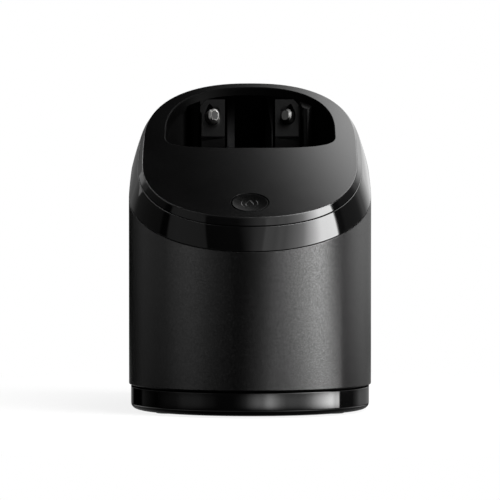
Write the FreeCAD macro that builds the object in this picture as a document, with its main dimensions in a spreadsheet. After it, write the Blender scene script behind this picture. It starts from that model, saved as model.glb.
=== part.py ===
import FreeCAD, Part
import Sketcher
import math
import os

from FreeCAD import Placement, Rotation, Vector

# Shaver cleaning station. Millimetres, +Z up, -Y is the front with the start button, +X to its right.
# The origin is on the floor, below the middle of the outline.
#
# The outline of every outer piece is one closed curve: a superellipse half at the front and a squarer one at the
# back, joined by a short straight at each side. The plan figures in the sheet count from the widest station of the
# outline, and plan_shift moves them to the origin.

doc = FreeCAD.newDocument("cleaning_station")
sheet = doc.addObject("Spreadsheet::Sheet", "dims")

TABLE = [
    # outline and its seams
    ("plan_shift", -12.95, "from the widest station to the origin, along Y"),
    ("body_half", 61.0, "half width of the shell"),
    ("body_front", 56.5, "front semi-depth of the shell outline"),
    ("body_front_power", 2.1, "superellipse power, front"),
    ("body_rear_start", 20.0, "where the rear half begins"),
    ("body_rear", 62.4, "rear semi-depth of the shell outline"),
    ("body_rear_power", 2.4, "superellipse power, rear"),
    ("seam_height", 108.2, "shell top seam, height at the widest station"),
    ("seam_slope", 0.493, "shell top seam, rise per depth"),
    ("collar_half", 56.45, "half width at the top of the band"),
    ("collar_height", 120.9, "band top, height at the widest station"),
    ("face_slope", 0.54, "slope of the top face and the band top"),
    ("face_height", 124.3, "top face, height at the widest station"),
    ("face_half", 54.2, "half width of the top face"),
    ("well_half", 43.3, "half width of the recess opening"),
    ("well_front", 15.0, "front lip of the recess opening"),
    ("well_rear", 75.8, "rear edge of the recess opening"),
    # walls and gaps
    ("wall", 2.2, "moulded wall"),
    ("seam_gap", 0.3, "joint line between outer pieces"),
    ("ring_top", 12.3, "top of the visible base ring"),
    ("shell_bottom", 13.2, "lower edge of the shell"),
    ("floor_under", 2.9, "underside of the tray floor"),
    ("floor_top", 4.9, "top of the tray floor"),
    ("foot_height", 0.9, "rubber feet"),
    ("foot_radius", 6.5, "rubber feet"),
    ("lip_top", 17.0, "top of the tray lip inside the shell"),
    # lift mechanism
    ("travel", 42.5, "lift of the housing"),
    ("rod_radius", 3.0, "guide rods"),
    ("rod_x", 26.0, "guide rods, from the middle"),
    ("rod_y", 64.0, "guide rods, plan"),
    ("bush_clearance", 0.05, "running clearance of the bushes"),
    ("bush_outer", 5.5, "bush outer radius"),
    ("mast_top", 101.5, "top of the column"),
    ("chassis_bottom", 56.0, "underside of the chassis plate"),
    ("chassis_thick", 2.6, "chassis plate"),
    # latch and lift button
    ("latch_y", 75.0, "latch pivot, plan"),
    ("latch_z", 69.0, "latch pivot, height"),
    ("latch_pin_radius", 1.5, "latch pin"),
    ("lift_key_z", 78.0, "lift button, height of its middle"),
    ("lift_key_half", 12.0, "lift button, half width"),
    ("lift_key_tall", 12.0, "lift button, height"),
    ("lift_key_travel", 2.0, "lift button"),
    # start button
    ("key_y", -36.8, "start button, plan"),
    ("key_radius", 8.9, "start button"),
    ("key_hole", 9.3, "hole for the start button"),
    ("key_travel", 0.8, "start button"),
    # contacts
    ("contact_radius", 2.6, "contact pins, half their width"),
    ("contact_tall", 3.8, "contact pins, half their height"),
    ("contact_x", 18.5, "contact pin tips, from the middle"),
    ("contact_y", 61.5, "contact pin tips, plan"),
    ("contact_z", 150.0, "contact pin tips, height"),
    ("contact_travel", 1.5, "contact pins"),
    # cartridge
    ("cart_bottom", 8.3, "cartridge underside"),
    ("cart_rim", 42.0, "top of the cartridge tub"),
    ("cart_inset", 8.5, "cartridge inside the outline"),
    # pump and fan
    ("pump_x", -24.0, "pump axis"),
    ("pump_y", -14.0, "pump axis, plan"),
    ("fan_x", 24.0, "fan axis"),
    ("fan_y", -8.0, "fan axis, plan"),
    ("shaft_radius", 1.0, "both motor shafts"),
    # mains inlet
    ("inlet_z", 26.0, "power socket, height of its middle"),
]
for row, (alias, number, note) in enumerate(TABLE, start=1):
    sheet.set("A%d" % row, alias)
    sheet.set("B%d" % row, str(number))
    sheet.setAlias("B%d" % row, alias)
    sheet.set("C%d" % row, note)
doc.recompute()
CELLS = {alias: float(number) for alias, number, note in TABLE}


class Q:
    """A number together with the sheet expression that gives it."""

    def __init__(self, value, text):
        self.value, self.text = float(value), text

    def _join(self, other, sign, swap=False):
        o = other if isinstance(other, Q) else Q(other, repr(float(other)))
        a, b = (o, self) if swap else (self, o)
        value = {"+": a.value + b.value, "-": a.value - b.value, "*": a.value * b.value,
                 "/": a.value / b.value if b.value else 0.0}[sign]
        return Q(value, "(%s %s %s)" % (a.text, sign, b.text))

    def __add__(self, o):
        return self._join(o, "+")

    def __radd__(self, o):
        return self._join(o, "+", True)

    def __sub__(self, o):
        return self._join(o, "-")

    def __rsub__(self, o):
        return self._join(o, "-", True)

    def __mul__(self, o):
        return self._join(o, "*")

    def __rmul__(self, o):
        return self._join(o, "*", True)

    def __truediv__(self, o):
        return self._join(o, "/")

    def __neg__(self):
        return 0.0 - self

    def __float__(self):
        return self.value


def D(alias):
    return Q(CELLS[alias], "dims." + alias)


def num(x):
    return float(x)


def bind(obj, path, x):
    if isinstance(x, Q):
        obj.setExpression(path, x.text)


def Y(plan):
    """A plan depth, counted from the widest station, in the part's frame."""
    return D("plan_shift") + plan


SHIFT = CELLS["plan_shift"]
FACE = math.atan(CELLS["face_slope"])
NORMAL = Vector(0, -math.sin(FACE), math.cos(FACE))
NODES = []


def keep(obj, label):
    obj.Label = label
    NODES.append(obj)
    return obj


# ---------------------------------------------------------------- outlines


def outline(half, front_start, front, front_power, rear_start, rear, rear_power, count=24):
    """Points of the closed outline, in plan, counter-clockwise from the right-hand side."""
    pts = []
    for k in range(count + 1):
        t = math.pi * k / count
        c, s = math.cos(t), math.sin(t)
        x = math.copysign(abs(c) ** (2.0 / rear_power), c) * half
        pts.append((x, rear_start + rear * abs(s) ** (2.0 / rear_power)))
    for k in range(count + 1):
        t = math.pi + math.pi * k / count
        c, s = math.cos(t), math.sin(t)
        x = math.copysign(abs(c) ** (2.0 / front_power), c) * half
        pts.append((x, front_start - front * abs(s) ** (2.0 / front_power)))
    out = []
    for p in pts:
        if not out or math.hypot(p[0] - out[-1][0], p[1] - out[-1][1]) > 1e-6:
            out.append(p)
    if math.hypot(out[0][0] - out[-1][0], out[0][1] - out[-1][1]) < 1e-6:
        out.pop()
    return out


def body_line(inset=0.0):
    return outline(CELLS["body_half"] - inset, 0.0, CELLS["body_front"] - inset, CELLS["body_front_power"],
                   CELLS["body_rear_start"], CELLS["body_rear"] - inset, CELLS["body_rear_power"])


def collar_line(inset=0.0):
    return outline(CELLS["collar_half"] - inset, 5.0, 57.0 - inset, 2.35, 22.0, 59.7 - inset, 2.35)


def flange_line(inset=0.0):
    """The hole in the flange under the cover, nearer the wall at the back, where the recess comes close."""
    return outline(51.05 - inset, 5.0, 51.6 - inset, 2.35, 22.0, 56.5 - inset, 2.35)


def middle_line(inset=0.0):
    """The band half way up, where it bulges."""
    return outline(59.85 - inset, 2.0, 57.3 - inset, 2.2, 21.0, 60.95 - inset, 2.38)


def face_line(inset=0.0):
    return outline(CELLS["face_half"] - inset, 4.0, 54.0 - inset, 2.4, 22.0, 58.6 - inset, 2.35)


def well_line(grow=0.0):
    return outline(CELLS["well_half"] + grow, 27.0, 12.0 + grow, 3.4, 33.0, 42.8 + grow, 2.35, 28)


def plane_at(height, slope, plan):
    return CELLS[height] + CELLS[slope] * plan


# ---------------------------------------------------------------- sketches


def origin_plane(body, role):
    return [f for f in body.Origin.OriginFeatures if f.Role == role][0]


def new_body(name):
    return doc.addObject("PartDesign::Body", name)


def sketch(body, name, role="XY_Plane", offset=0.0, tilt=None):
    """A sketch on one of the body's own planes. offset runs along the plane's normal; tilt leans it about X."""
    sk = body.newObject("Sketcher::SketchObject", name)
    sk.AttachmentSupport = [(origin_plane(body, role), "")]
    sk.MapMode = "FlatFace"
    rot = Rotation(Vector(1, 0, 0), math.degrees(tilt)) if tilt else Rotation()
    sk.AttachmentOffset = Placement(Vector(0, 0, num(offset)), rot)
    bind(sk, "AttachmentOffset.Base.z", offset)
    return sk


def curve(sk, pts, lean=0.0):
    """The outline as one closed spline. On a leaning sketch the depth stretches, so that the plan stays as drawn."""
    c = Part.BSplineCurve()
    c.interpolate(Points=[Vector(x, (y + SHIFT) / math.cos(lean), 0) for x, y in pts], PeriodicFlag=True)
    sk.addGeometry(c, False)


def leaning(body, name, height, slope, lift, pts):
    """An outline drawn on the plane z = height + slope * plan depth + lift."""
    lean = math.atan(CELLS[slope]) if isinstance(slope, str) else math.atan(slope)
    s = math.tan(lean)
    z0 = (CELLS[height] if isinstance(height, str) else height) - s * SHIFT + lift
    sk = sketch(body, name, "XY_Plane", z0, lean)
    if isinstance(height, str) and isinstance(slope, str):
        sk.setExpression("AttachmentOffset.Base.z", "dims.%s - dims.%s * dims.plan_shift + %s" % (height, slope, repr(float(lift))))
    curve(sk, pts, lean)
    return sk


def rect(sk, x0, y0, x1, y1):
    """A rectangle held by its two corners."""
    a, b, c, d = num(x0), num(y0), num(x1), num(y1)
    base = sk.GeometryCount
    corners = [Vector(a, b, 0), Vector(c, b, 0), Vector(c, d, 0), Vector(a, d, 0)]
    for k in range(4):
        sk.addGeometry(Part.LineSegment(corners[k], corners[(k + 1) % 4]), False)
    for k in range(4):
        sk.addConstraint(Sketcher.Constraint("Coincident", base + k, 2, base + (k + 1) % 4, 1))
    for k in (0, 2):
        sk.addConstraint(Sketcher.Constraint("Horizontal", base + k))
        sk.addConstraint(Sketcher.Constraint("Vertical", base + k + 1))
    for kind, vertex, value in (("DistanceX", 1, x0), ("DistanceY", 1, y0), ("DistanceX", 3, x1), ("DistanceY", 3, y1)):
        geo, pos = (base, 1) if vertex == 1 else (base + 2, 1)
        index = sk.addConstraint(Sketcher.Constraint(kind, -1, 1, geo, pos, num(value)))
        bind(sk, "Constraints[%d]" % index, value)


def circle(sk, x, y, r):
    base = sk.GeometryCount
    sk.addGeometry(Part.Circle(Vector(num(x), num(y), 0), Vector(0, 0, 1), num(r)), False)
    index = sk.addConstraint(Sketcher.Constraint("Radius", base, num(r)))
    bind(sk, "Constraints[%d]" % index, r)
    for kind, value in (("DistanceX", x), ("DistanceY", y)):
        index = sk.addConstraint(Sketcher.Constraint(kind, -1, 1, base, 3, num(value)))
        bind(sk, "Constraints[%d]" % index, value)


def polygon(sk, pts):
    base = sk.GeometryCount
    vs = [Vector(num(x), num(y), 0) for x, y in pts]
    for k in range(len(vs)):
        sk.addGeometry(Part.LineSegment(vs[k], vs[(k + 1) % len(vs)]), False)
    for k in range(len(vs)):
        sk.addConstraint(Sketcher.Constraint("Coincident", base + k, 2, base + (k + 1) % len(vs), 1))


def stadium(sk, cx, cy, half, radius):
    """A slot with round ends, along the sketch's x."""
    cx, cy, half, radius = num(cx), num(cy), num(half), num(radius)
    run = half - radius
    sk.addGeometry(Part.LineSegment(Vector(cx - run, cy - radius, 0), Vector(cx + run, cy - radius, 0)), False)
    sk.addGeometry(Part.ArcOfCircle(Part.Circle(Vector(cx + run, cy, 0), Vector(0, 0, 1), radius), -math.pi / 2, math.pi / 2), False)
    sk.addGeometry(Part.LineSegment(Vector(cx + run, cy + radius, 0), Vector(cx - run, cy + radius, 0)), False)
    sk.addGeometry(Part.ArcOfCircle(Part.Circle(Vector(cx - run, cy, 0), Vector(0, 0, 1), radius), math.pi / 2, 3 * math.pi / 2), False)


def round_rect(sk, x0, y0, x1, y1, r):
    x0, y0, x1, y1, r = (num(v) for v in (x0, y0, x1, y1, r))
    up = Vector(0, 0, 1)
    sk.addGeometry(Part.LineSegment(Vector(x0 + r, y0, 0), Vector(x1 - r, y0, 0)), False)
    sk.addGeometry(Part.ArcOfCircle(Part.Circle(Vector(x1 - r, y0 + r, 0), up, r), -math.pi / 2, 0), False)
    sk.addGeometry(Part.LineSegment(Vector(x1, y0 + r, 0), Vector(x1, y1 - r, 0)), False)
    sk.addGeometry(Part.ArcOfCircle(Part.Circle(Vector(x1 - r, y1 - r, 0), up, r), 0, math.pi / 2), False)
    sk.addGeometry(Part.LineSegment(Vector(x1 - r, y1, 0), Vector(x0 + r, y1, 0)), False)
    sk.addGeometry(Part.ArcOfCircle(Part.Circle(Vector(x0 + r, y1 - r, 0), up, r), math.pi / 2, math.pi), False)
    sk.addGeometry(Part.LineSegment(Vector(x0, y1 - r, 0), Vector(x0, y0 + r, 0)), False)
    sk.addGeometry(Part.ArcOfCircle(Part.Circle(Vector(x0 + r, y0 + r, 0), up, r), math.pi, 3 * math.pi / 2), False)


# ---------------------------------------------------------------- features


def pad(body, sk, length, reverse=False, middle=False):
    f = body.newObject("PartDesign::Pad", "Pad")
    f.Profile = sk
    f.Length = num(length)
    bind(f, "Length", length)
    f.Reversed = reverse
    if middle:
        f.SideType = "Symmetric"
    return f


def cut(body, sk, length, reverse=False, middle=False):
    """A pocket, which must remove material."""
    doc.recompute()
    before = body.Shape.Volume
    f = body.newObject("PartDesign::Pocket", "Pocket")
    f.Profile = sk
    f.Length = num(length)
    bind(f, "Length", length)
    f.Reversed = reverse
    if middle:
        f.SideType = "Symmetric"
    doc.recompute()
    if f.Shape.isNull() or not body.Shape.Volume < before - 1e-3:
        raise RuntimeError("a pocket in %s cuts nothing" % body.Name)
    return f


def fillet(body, edges, radius, kind="PartDesign::Fillet"):
    doc.recompute()
    base = body.Tip
    names = ["Edge%d" % (k + 1) for k, e in enumerate(base.Shape.Edges) if edges(e)]
    if not names:
        raise RuntimeError("no edge to round in %s" % body.Name)
    f = body.newObject(kind, "Round")
    f.Base = (base, names)
    if kind.endswith("Fillet"):
        f.Radius = radius
    else:
        f.Size = radius
    doc.recompute()
    return f


def column(x, y, z, r, length, name="Cylinder"):
    """A plain upright cylinder whose sizes may be bound to the sheet."""
    c = doc.addObject("Part::Cylinder", name)
    c.Radius, c.Height = num(r), num(length)
    bind(c, "Radius", r)
    bind(c, "Height", length)
    c.Placement = Placement(Vector(num(x), num(y), num(z)), Rotation())
    bind(c, "Placement.Base.x", x)
    bind(c, "Placement.Base.y", y)
    bind(c, "Placement.Base.z", z)
    return c


def side_cut(body, name, pts, half=100.0):
    """Removes everything inside a polygon drawn in side view (depth, height), right across the width."""
    sk = sketch(body, name, "YZ_Plane")
    polygon(sk, [(num(y) + SHIFT, z) for y, z in pts])
    return cut(body, sk, 2 * half, middle=True)


def above(height, slope, lift):
    """Side-view polygon of all that lies above the plane, in plan depth."""
    h0 = plane_at(height, slope, -90.0) + lift
    h1 = plane_at(height, slope, 120.0) + lift
    return [(-90.0, h0), (120.0, h1), (120.0, 320.0), (-90.0, 320.0)]


def below(height, slope, lift):
    h0 = plane_at(height, slope, -90.0) + lift
    h1 = plane_at(height, slope, 120.0) + lift
    return [(-90.0, h0), (-90.0, -60.0), (120.0, -60.0), (120.0, h1)]


def slant(body, name, depth, x=0.0, plan=None):
    """A sketch parallel to the top face, a depth below it, its origin under the start button."""
    plan = CELLS["key_y"] if plan is None else plan
    sk = body.newObject("Sketcher::SketchObject", name)
    sk.AttachmentSupport = [(origin_plane(body, "XY_Plane"), "")]
    sk.MapMode = "FlatFace"
    centre = Vector(x, plan + SHIFT, plane_at("face_height", "face_slope", plan)) - NORMAL * depth
    sk.AttachmentOffset = Placement(centre, Rotation(Vector(1, 0, 0), math.degrees(FACE)))
    return sk


# ================================================================ BASE

# base tray: the gloss ring that shows, a lip that rises inside the shell, a floor, and a recess for the base plate
tray = new_body("tray")
sk = sketch(tray, "tray_ring", offset=D("foot_height"))
curve(sk, body_line(1.0))
pad(tray, sk, D("ring_top") - D("foot_height"))
sk = sketch(tray, "tray_lip", offset=D("floor_top"))
curve(sk, body_line(3.2))
pad(tray, sk, D("lip_top") - D("floor_top"))
sk = sketch(tray, "tray_inside", offset=D("lip_top"))
curve(sk, body_line(5.2))
cut(tray, sk, D("lip_top") - D("floor_top"))
sk = sketch(tray, "tray_under", offset=D("foot_height"))
curve(sk, body_line(6.0))
cut(tray, sk, D("floor_under") - D("foot_height"), reverse=True)
# gap in the lip for the rear panel
sk = sketch(tray, "tray_gap", offset=D("lip_top") + 1.0)
rect(sk, -20.5, Y(74.0), 20.5, Y(90.0))
cut(tray, sk, D("lip_top") + 1.0 - D("ring_top"))
# bosses for the base screws, rails under the cartridge, bosses for the rods
SCREWS = [(-20.0, -34.0), (20.0, -34.0), (-38.0, 60.0), (38.0, 60.0)]
sk = sketch(tray, "tray_bosses", offset=D("floor_top") - 0.5)
for x, y in SCREWS:
    circle(sk, x, Y(y), 3.4)
pad(tray, sk, 3.6)
sk = sketch(tray, "tray_rails", offset=D("floor_top") - 0.5)
rect(sk, -37.0, Y(-25.0), -35.0, Y(42.0))
rect(sk, 35.0, Y(-25.0), 37.0, Y(42.0))
pad(tray, sk, D("cart_bottom") - D("floor_top") + 0.5)
sk = sketch(tray, "rod_bosses", offset=D("floor_top") - 0.5)
circle(sk, -D("rod_x"), Y(D("rod_y")), 5.4)
circle(sk, D("rod_x"), Y(D("rod_y")), 5.4)
pad(tray, sk, 4.6)
sk = sketch(tray, "rod_sockets", offset=9.5)
circle(sk, -D("rod_x"), Y(D("rod_y")), D("rod_radius") + 0.02)
circle(sk, D("rod_x"), Y(D("rod_y")), D("rod_radius") + 0.02)
cut(tray, sk, 5.0)
sk = sketch(tray, "screw_bores", offset=D("floor_under") - 0.1)
for x, y in SCREWS:
    circle(sk, x, Y(y), 1.5)
cut(tray, sk, 4.6, reverse=True)
# the rounded lower edge
fillet(tray, lambda e: e.BoundBox.ZMax < 1.2 and e.Length > 300 and e.BoundBox.XLength > 119.0, 3.0)
keep(tray, "base_tray")

plate = new_body("plate")
sk = sketch(plate, "plate_line", offset=D("foot_height"))
curve(sk, body_line(6.2))
pad(plate, sk, D("floor_under") - D("foot_height"))
sk = sketch(plate, "plate_holes", offset=D("floor_under"))
for x, y in SCREWS:
    circle(sk, x, Y(y), 1.7)
cut(plate, sk, 3.0)
sk = sketch(plate, "plate_counterbores", offset=D("foot_height"))
for x, y in SCREWS:
    circle(sk, x, Y(y), 3.1)
cut(plate, sk, 1.4, reverse=True)
keep(plate, "base_plate")

feet = doc.addObject("Part::Compound", "feet")
feet.Links = [column(x, Y(y), 0.0, D("foot_radius"), D("foot_height"), "foot")
              for x, y in ((-40.0, -22.0), (40.0, -22.0), (-40.0, 43.0), (40.0, 43.0))]
keep(feet, "rubber_feet")

screws = new_body("screws")
sk = sketch(screws, "screw_heads", offset=1.0)
for x, y in SCREWS:
    circle(sk, x, Y(y), 2.8)
pad(screws, sk, 1.25)
sk = sketch(screws, "screw_shanks", offset=2.0)
for x, y in SCREWS:
    circle(sk, x, Y(y), 1.45)
pad(screws, sk, 5.2)
sk = sketch(screws, "screw_slots", offset=1.0)
for x, y in SCREWS:
    rect(sk, x - 1.8, Y(y) - 0.35, x + 1.8, Y(y) + 0.35)
cut(screws, sk, 0.6, reverse=True)
keep(screws, "base_screws")

# rear column: a closed box section that the housing rises along, with a window where the latch engages
mast = new_body("mast")
sk = sketch(mast, "mast_outer", offset=D("floor_top"))
round_rect(sk, -15.0, 56.0 + SHIFT, 15.0, 70.0 + SHIFT, 2.0)
pad(mast, sk, D("mast_top") - D("floor_top"))
sk = sketch(mast, "mast_inner", offset=D("floor_top"))
round_rect(sk, -12.8, 58.2 + SHIFT, 12.8, 67.8 + SHIFT, 1.0)
cut(mast, sk, D("mast_top") - D("floor_top") - 2.4, reverse=True)
sk = sketch(mast, "mast_window", "XZ_Plane", offset=-Y(66.0))
rect(sk, -8.0, 52.0, 8.0, 60.0)
cut(mast, sk, 6.0)
keep(mast, "rear_column")

# rear panel: fills the notch in the shell and carries the inlet, on two webs from the column
block = new_body("panel_block")
sk = sketch(block, "panel_line", offset=12.6)
curve(sk, body_line(0.3))
pad(block, sk, 39.2)
slab = doc.addObject("Part::Box", "panel_slab")
slab.Length, slab.Width, slab.Height = 38.0, 20.0, 60.0
slab.Placement = Placement(Vector(-19.0, 77.0 + SHIFT, 0.0), Rotation())
face = doc.addObject("Part::Common", "panel_face")
face.Base, face.Tool = block, slab
webs = []
for x in (-13.0, 11.0):
    w = doc.addObject("Part::Box", "panel_web")
    w.Length, w.Width, w.Height = 2.0, 7.6, 35.3
    w.Placement = Placement(Vector(x, 70.0 + SHIFT, 12.6), Rotation())
    webs.append(w)
solid = doc.addObject("Part::MultiFuse", "panel_solid")
solid.Shapes = [face] + webs
hole = new_body("panel_hole")
sk = sketch(hole, "panel_hole_line", "XZ_Plane", offset=-Y(70.5))
stadium(sk, 0.0, D("inlet_z"), 9.2, 5.4)
pad(hole, sk, 20.0, reverse=True)
panel = doc.addObject("Part::Cut", "panel")
panel.Base, panel.Tool = solid, hole
keep(panel, "rear_panel")

# power socket: a stadium-shaped cup for a two-pole plug, with two pins standing in it
cup = new_body("cup")
sk = sketch(cup, "cup_outer", "XZ_Plane", offset=-Y(71.2))
stadium(sk, 0.0, D("inlet_z"), 9.0, 5.2)
pad(cup, sk, 10.6, reverse=True)
sk = sketch(cup, "cup_inner", "XZ_Plane", offset=-Y(73.4))
stadium(sk, 0.0, D("inlet_z"), 7.4, 3.6)
cut(cup, sk, 12.0)
sk = sketch(cup, "cup_pins", "XZ_Plane", offset=-Y(71.0))
circle(sk, -3.8, D("inlet_z"), 1.2)
circle(sk, 3.8, D("inlet_z"), 1.2)
cut(cup, sk, 3.0)
keep(cup, "power_socket")

poles = new_body("poles")
sk = sketch(poles, "pole_line", "XZ_Plane", offset=-Y(71.3))
circle(sk, -3.8, D("inlet_z"), 1.2)
circle(sk, 3.8, D("inlet_z"), 1.2)
pad(poles, sk, 8.6, reverse=True)
fillet(poles, lambda e: e.BoundBox.YMin > 79.8 + SHIFT, 0.6)
keep(poles, "socket_pins")

rods = doc.addObject("Part::Compound", "rods")
rods.Links = [column(side * D("rod_x"), Y(D("rod_y")), D("floor_top"), D("rod_radius"), 100.0, "rod") for side in (-1.0, 1.0)]
keep(rods, "guide_rods")

# mast cap: ties the column and both rods, and stops the housing at the top of its travel
cap = new_body("mast_cap_body")
sk = sketch(cap, "cap_line", offset=D("mast_top"))
round_rect(sk, -31.5, 57.6 + SHIFT, 31.5, 70.4 + SHIFT, 5.0)
pad(cap, sk, 4.0)
sk = sketch(cap, "cap_sockets", offset=D("mast_top"))
circle(sk, -D("rod_x"), Y(D("rod_y")), D("rod_radius") + 0.02)
circle(sk, D("rod_x"), Y(D("rod_y")), D("rod_radius") + 0.02)
cut(cap, sk, 3.45, reverse=True)
fillet(cap, lambda e: e.BoundBox.ZMin > CELLS["mast_top"] + 3.9, 0.8)
keep(cap, "mast_cap")

# lift springs, compressed between the tray bosses and the carriage
for side, name in ((-1.0, "lift_spring_left"), (1.0, "lift_spring_right")):
    spring = new_body(name + "_body")
    sk = sketch(spring, name + "_wire", "XZ_Plane")
    circle(sk, 4.2, 0.5, 0.45)
    coil = spring.newObject("PartDesign::AdditiveHelix", name + "_coil")
    coil.Profile = sk
    coil.ReferenceAxis = (sk, ["V_Axis"])
    coil.Mode = "pitch-height-angle"
    coil.Pitch, coil.Height = 1.5, 15.6
    spring.Placement = Placement(Vector(side * CELLS["rod_x"], CELLS["rod_y"] + SHIFT, 9.2), Rotation())
    spring.setExpression("Placement.Base.x", (side * D("rod_x")).text)
    keep(spring, name)

strike = new_body("strike")
sk = sketch(strike, "strike_line", "XZ_Plane", offset=-Y(70.0))
rect(sk, -9.0, 59.6, 9.0, 67.0)
pad(strike, sk, 1.1, reverse=True)
keep(strike, "latch_strike")

# cartridge: a fluid tub under a lid with a suction hole and a drain hole, and a filter
cart = new_body("cart")
sk = sketch(cart, "cart_outer", offset=D("cart_bottom"))
curve(sk, body_line(CELLS["cart_inset"]))
pad(cart, sk, D("cart_rim") - D("cart_bottom"))
sk = sketch(cart, "cart_inner", offset=D("cart_rim"))
curve(sk, body_line(CELLS["cart_inset"] + 1.6))
cut(cart, sk, D("cart_rim") - D("cart_bottom") - 1.8)
side_cut(cart, "cart_back", [(52.0, 0.0), (120.0, 0.0), (120.0, 90.0), (52.0, 90.0)])
sk = sketch(cart, "cart_wall", offset=D("cart_bottom"))
rect(sk, -45.0, Y(50.4), 45.0, Y(52.0))
pad(cart, sk, D("cart_rim") - D("cart_bottom"))
fillet(cart, lambda e: e.BoundBox.ZMax < CELLS["cart_bottom"] + 0.01 and e.Length > 100 and e.BoundBox.YLength > 50, 1.5)
keep(cart, "cartridge_tub")

lid = new_body("lid")
sk = sketch(lid, "lid_line", offset=D("cart_rim"))
curve(sk, body_line(CELLS["cart_inset"] - 0.4))
pad(lid, sk, 2.0)
side_cut(lid, "lid_back", [(52.4, 0.0), (120.0, 0.0), (120.0, 90.0), (52.4, 90.0)])
sk = sketch(lid, "lid_wells", offset=D("cart_rim") + 1.0)
circle(sk, D("pump_x"), Y(D("pump_y")), 8.0)
circle(sk, 20.0, Y(34.0), 9.5)
pad(lid, sk, 3.6)
sk = sketch(lid, "lid_holes", offset=D("cart_rim") + 5.0)
circle(sk, D("pump_x"), Y(D("pump_y")), 6.0)
circle(sk, 20.0, Y(34.0), 7.5)
cut(lid, sk, 6.0)
fillet(lid, lambda e: abs(e.BoundBox.ZMin - 44.0) < 0.01 and abs(e.BoundBox.ZMax - 44.0) < 0.01 and e.Length > 200, 0.8)
keep(lid, "cartridge_lid")

foam = doc.addObject("Part::Box", "foam")
foam.Length, foam.Width, foam.Height = 34.0, 24.0, 14.0
foam.Placement = Placement(Vector(3.0, 22.0 + SHIFT, CELLS["cart_bottom"] + 1.9), Rotation())
foam.setExpression("Placement.Base.z", "dims.cart_bottom + 1.9")
keep(foam, "cartridge_filter")

# ================================================================ HOUSING

BOSSES = [(-55.4, 8.0), (55.4, 8.0), (-39.0, -37.4), (39.0, -37.4)]
shell = new_body("shell")
sk = sketch(shell, "shell_outer", offset=D("shell_bottom"))
curve(sk, body_line(0.0))
pad(shell, sk, 150.0)
sk = sketch(shell, "shell_inner", offset=D("shell_bottom"))
curve(sk, body_line(CELLS["wall"]))
cut(shell, sk, 151.0, reverse=True)
side_cut(shell, "shell_top", above("seam_height", "seam_slope", 0.0))
# the rear wall: a notch round the panel, an aperture for the lift button, and five air slots
sk = sketch(shell, "shell_rear", "XZ_Plane", offset=-Y(70.0))
rect(sk, -19.5, 5.0, 19.5, 52.2)
round_rect(sk, -12.4, 71.6, 12.4, 84.4, 3.4)
for k in range(5):
    stadium(sk, 0.0, 102.0 + 4.6 * k, 14.0, 0.9)
cut(shell, sk, 30.0)
sk = sketch(shell, "shell_bosses", offset=D("chassis_bottom") + D("chassis_thick"))
for x, y in BOSSES:
    circle(sk, x, Y(y), 4.0)
pad(shell, sk, 16.0)
sk = sketch(shell, "shell_bores", offset=D("chassis_bottom") + D("chassis_thick"))
for x, y in BOSSES:
    circle(sk, x, Y(y), 1.45)
cut(shell, sk, 13.0, reverse=True)
keep(shell, "outer_shell")

# gloss band: leans in from the shell's outline to the collar, with a flange under the cover
outer = new_body("band_outer")
s1 = leaning(outer, "band_low", "seam_height", "seam_slope", 0.05, body_line(0.05))
s2 = leaning(outer, "band_mid", 115.3, 0.5165, 0.0, middle_line())
s3 = leaning(outer, "band_top", "collar_height", "face_slope", 0.0, collar_line())
loft = outer.newObject("PartDesign::AdditiveLoft", "band_loft")
loft.Profile, loft.Sections, loft.Ruled = s1, [s2, s3], False
inner = new_body("band_inner")
s1 = leaning(inner, "bore_low", "seam_height", "seam_slope", -1.0, body_line(2.4))
s2 = leaning(inner, "bore_mid", 115.3, 0.5165, -1.0, middle_line(2.4))
s3 = leaning(inner, "bore_top", "collar_height", "face_slope", -2.2, collar_line(2.2))
loft = inner.newObject("PartDesign::AdditiveLoft", "bore_loft")
loft.Profile, loft.Sections, loft.Ruled = s1, [s2, s3], False
sk = sketch(inner, "bore_through", offset=60.0)
curve(sk, flange_line())
pad(inner, sk, 140.0)
band = doc.addObject("Part::Cut", "band")
band.Base, band.Tool = outer, inner
keep(band, "gloss_band")

# cover gasket, set back in the groove between band and cover
seal = new_body("cover_seal")
sk = sketch(seal, "seal_outer", offset=60.0)
curve(sk, collar_line(0.8))
pad(seal, sk, 140.0)
sk = sketch(seal, "seal_inner", offset=60.0)
curve(sk, flange_line())
cut(seal, sk, 141.0, reverse=True)
side_cut(seal, "seal_above", above("collar_height", "face_slope", CELLS["seam_gap"]))
side_cut(seal, "seal_below", below("collar_height", "face_slope", 0.0))
keep(seal, "cover_gasket")

# top cover: a sloping plate with a short skirt, the recess opening with a lip round it, and the button hole
cover = new_body("cover")
sk = sketch(cover, "lip_line", offset=60.0)
curve(sk, well_line(1.9))
pad(cover, sk, 140.0)
side_cut(cover, "lip_above", above("face_height", "face_slope", -1.0))
side_cut(cover, "lip_below", below("face_height", "face_slope", -6.2))
s1 = leaning(cover, "skirt_low", "collar_height", "face_slope", CELLS["seam_gap"], collar_line(0.15))
s2 = leaning(cover, "face_line", "face_height", "face_slope", 0.0, face_line())
loft = cover.newObject("PartDesign::AdditiveLoft", "cover_loft")
loft.Profile, loft.Sections, loft.Ruled = s1, [s2], True
sk = sketch(cover, "well_opening", offset=230.0)
curve(sk, well_line())
cut(cover, sk, 200.0)
sk = slant(cover, "key_opening", -5.0)
circle(sk, 0.0, 0.0, D("key_hole"))
cut(cover, sk, 12.0)


def on_face(e, tall=0.05):
    """True for an edge that lies in the top face."""
    return all(abs((v - Vector(0, 0, plane_at("face_height", "face_slope", 0.0) - CELLS["face_slope"] * SHIFT)).dot(NORMAL)) < tall
               for v in [e.valueAt(e.FirstParameter + (e.LastParameter - e.FirstParameter) * t) for t in (0.0, 0.31, 0.67)])


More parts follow.
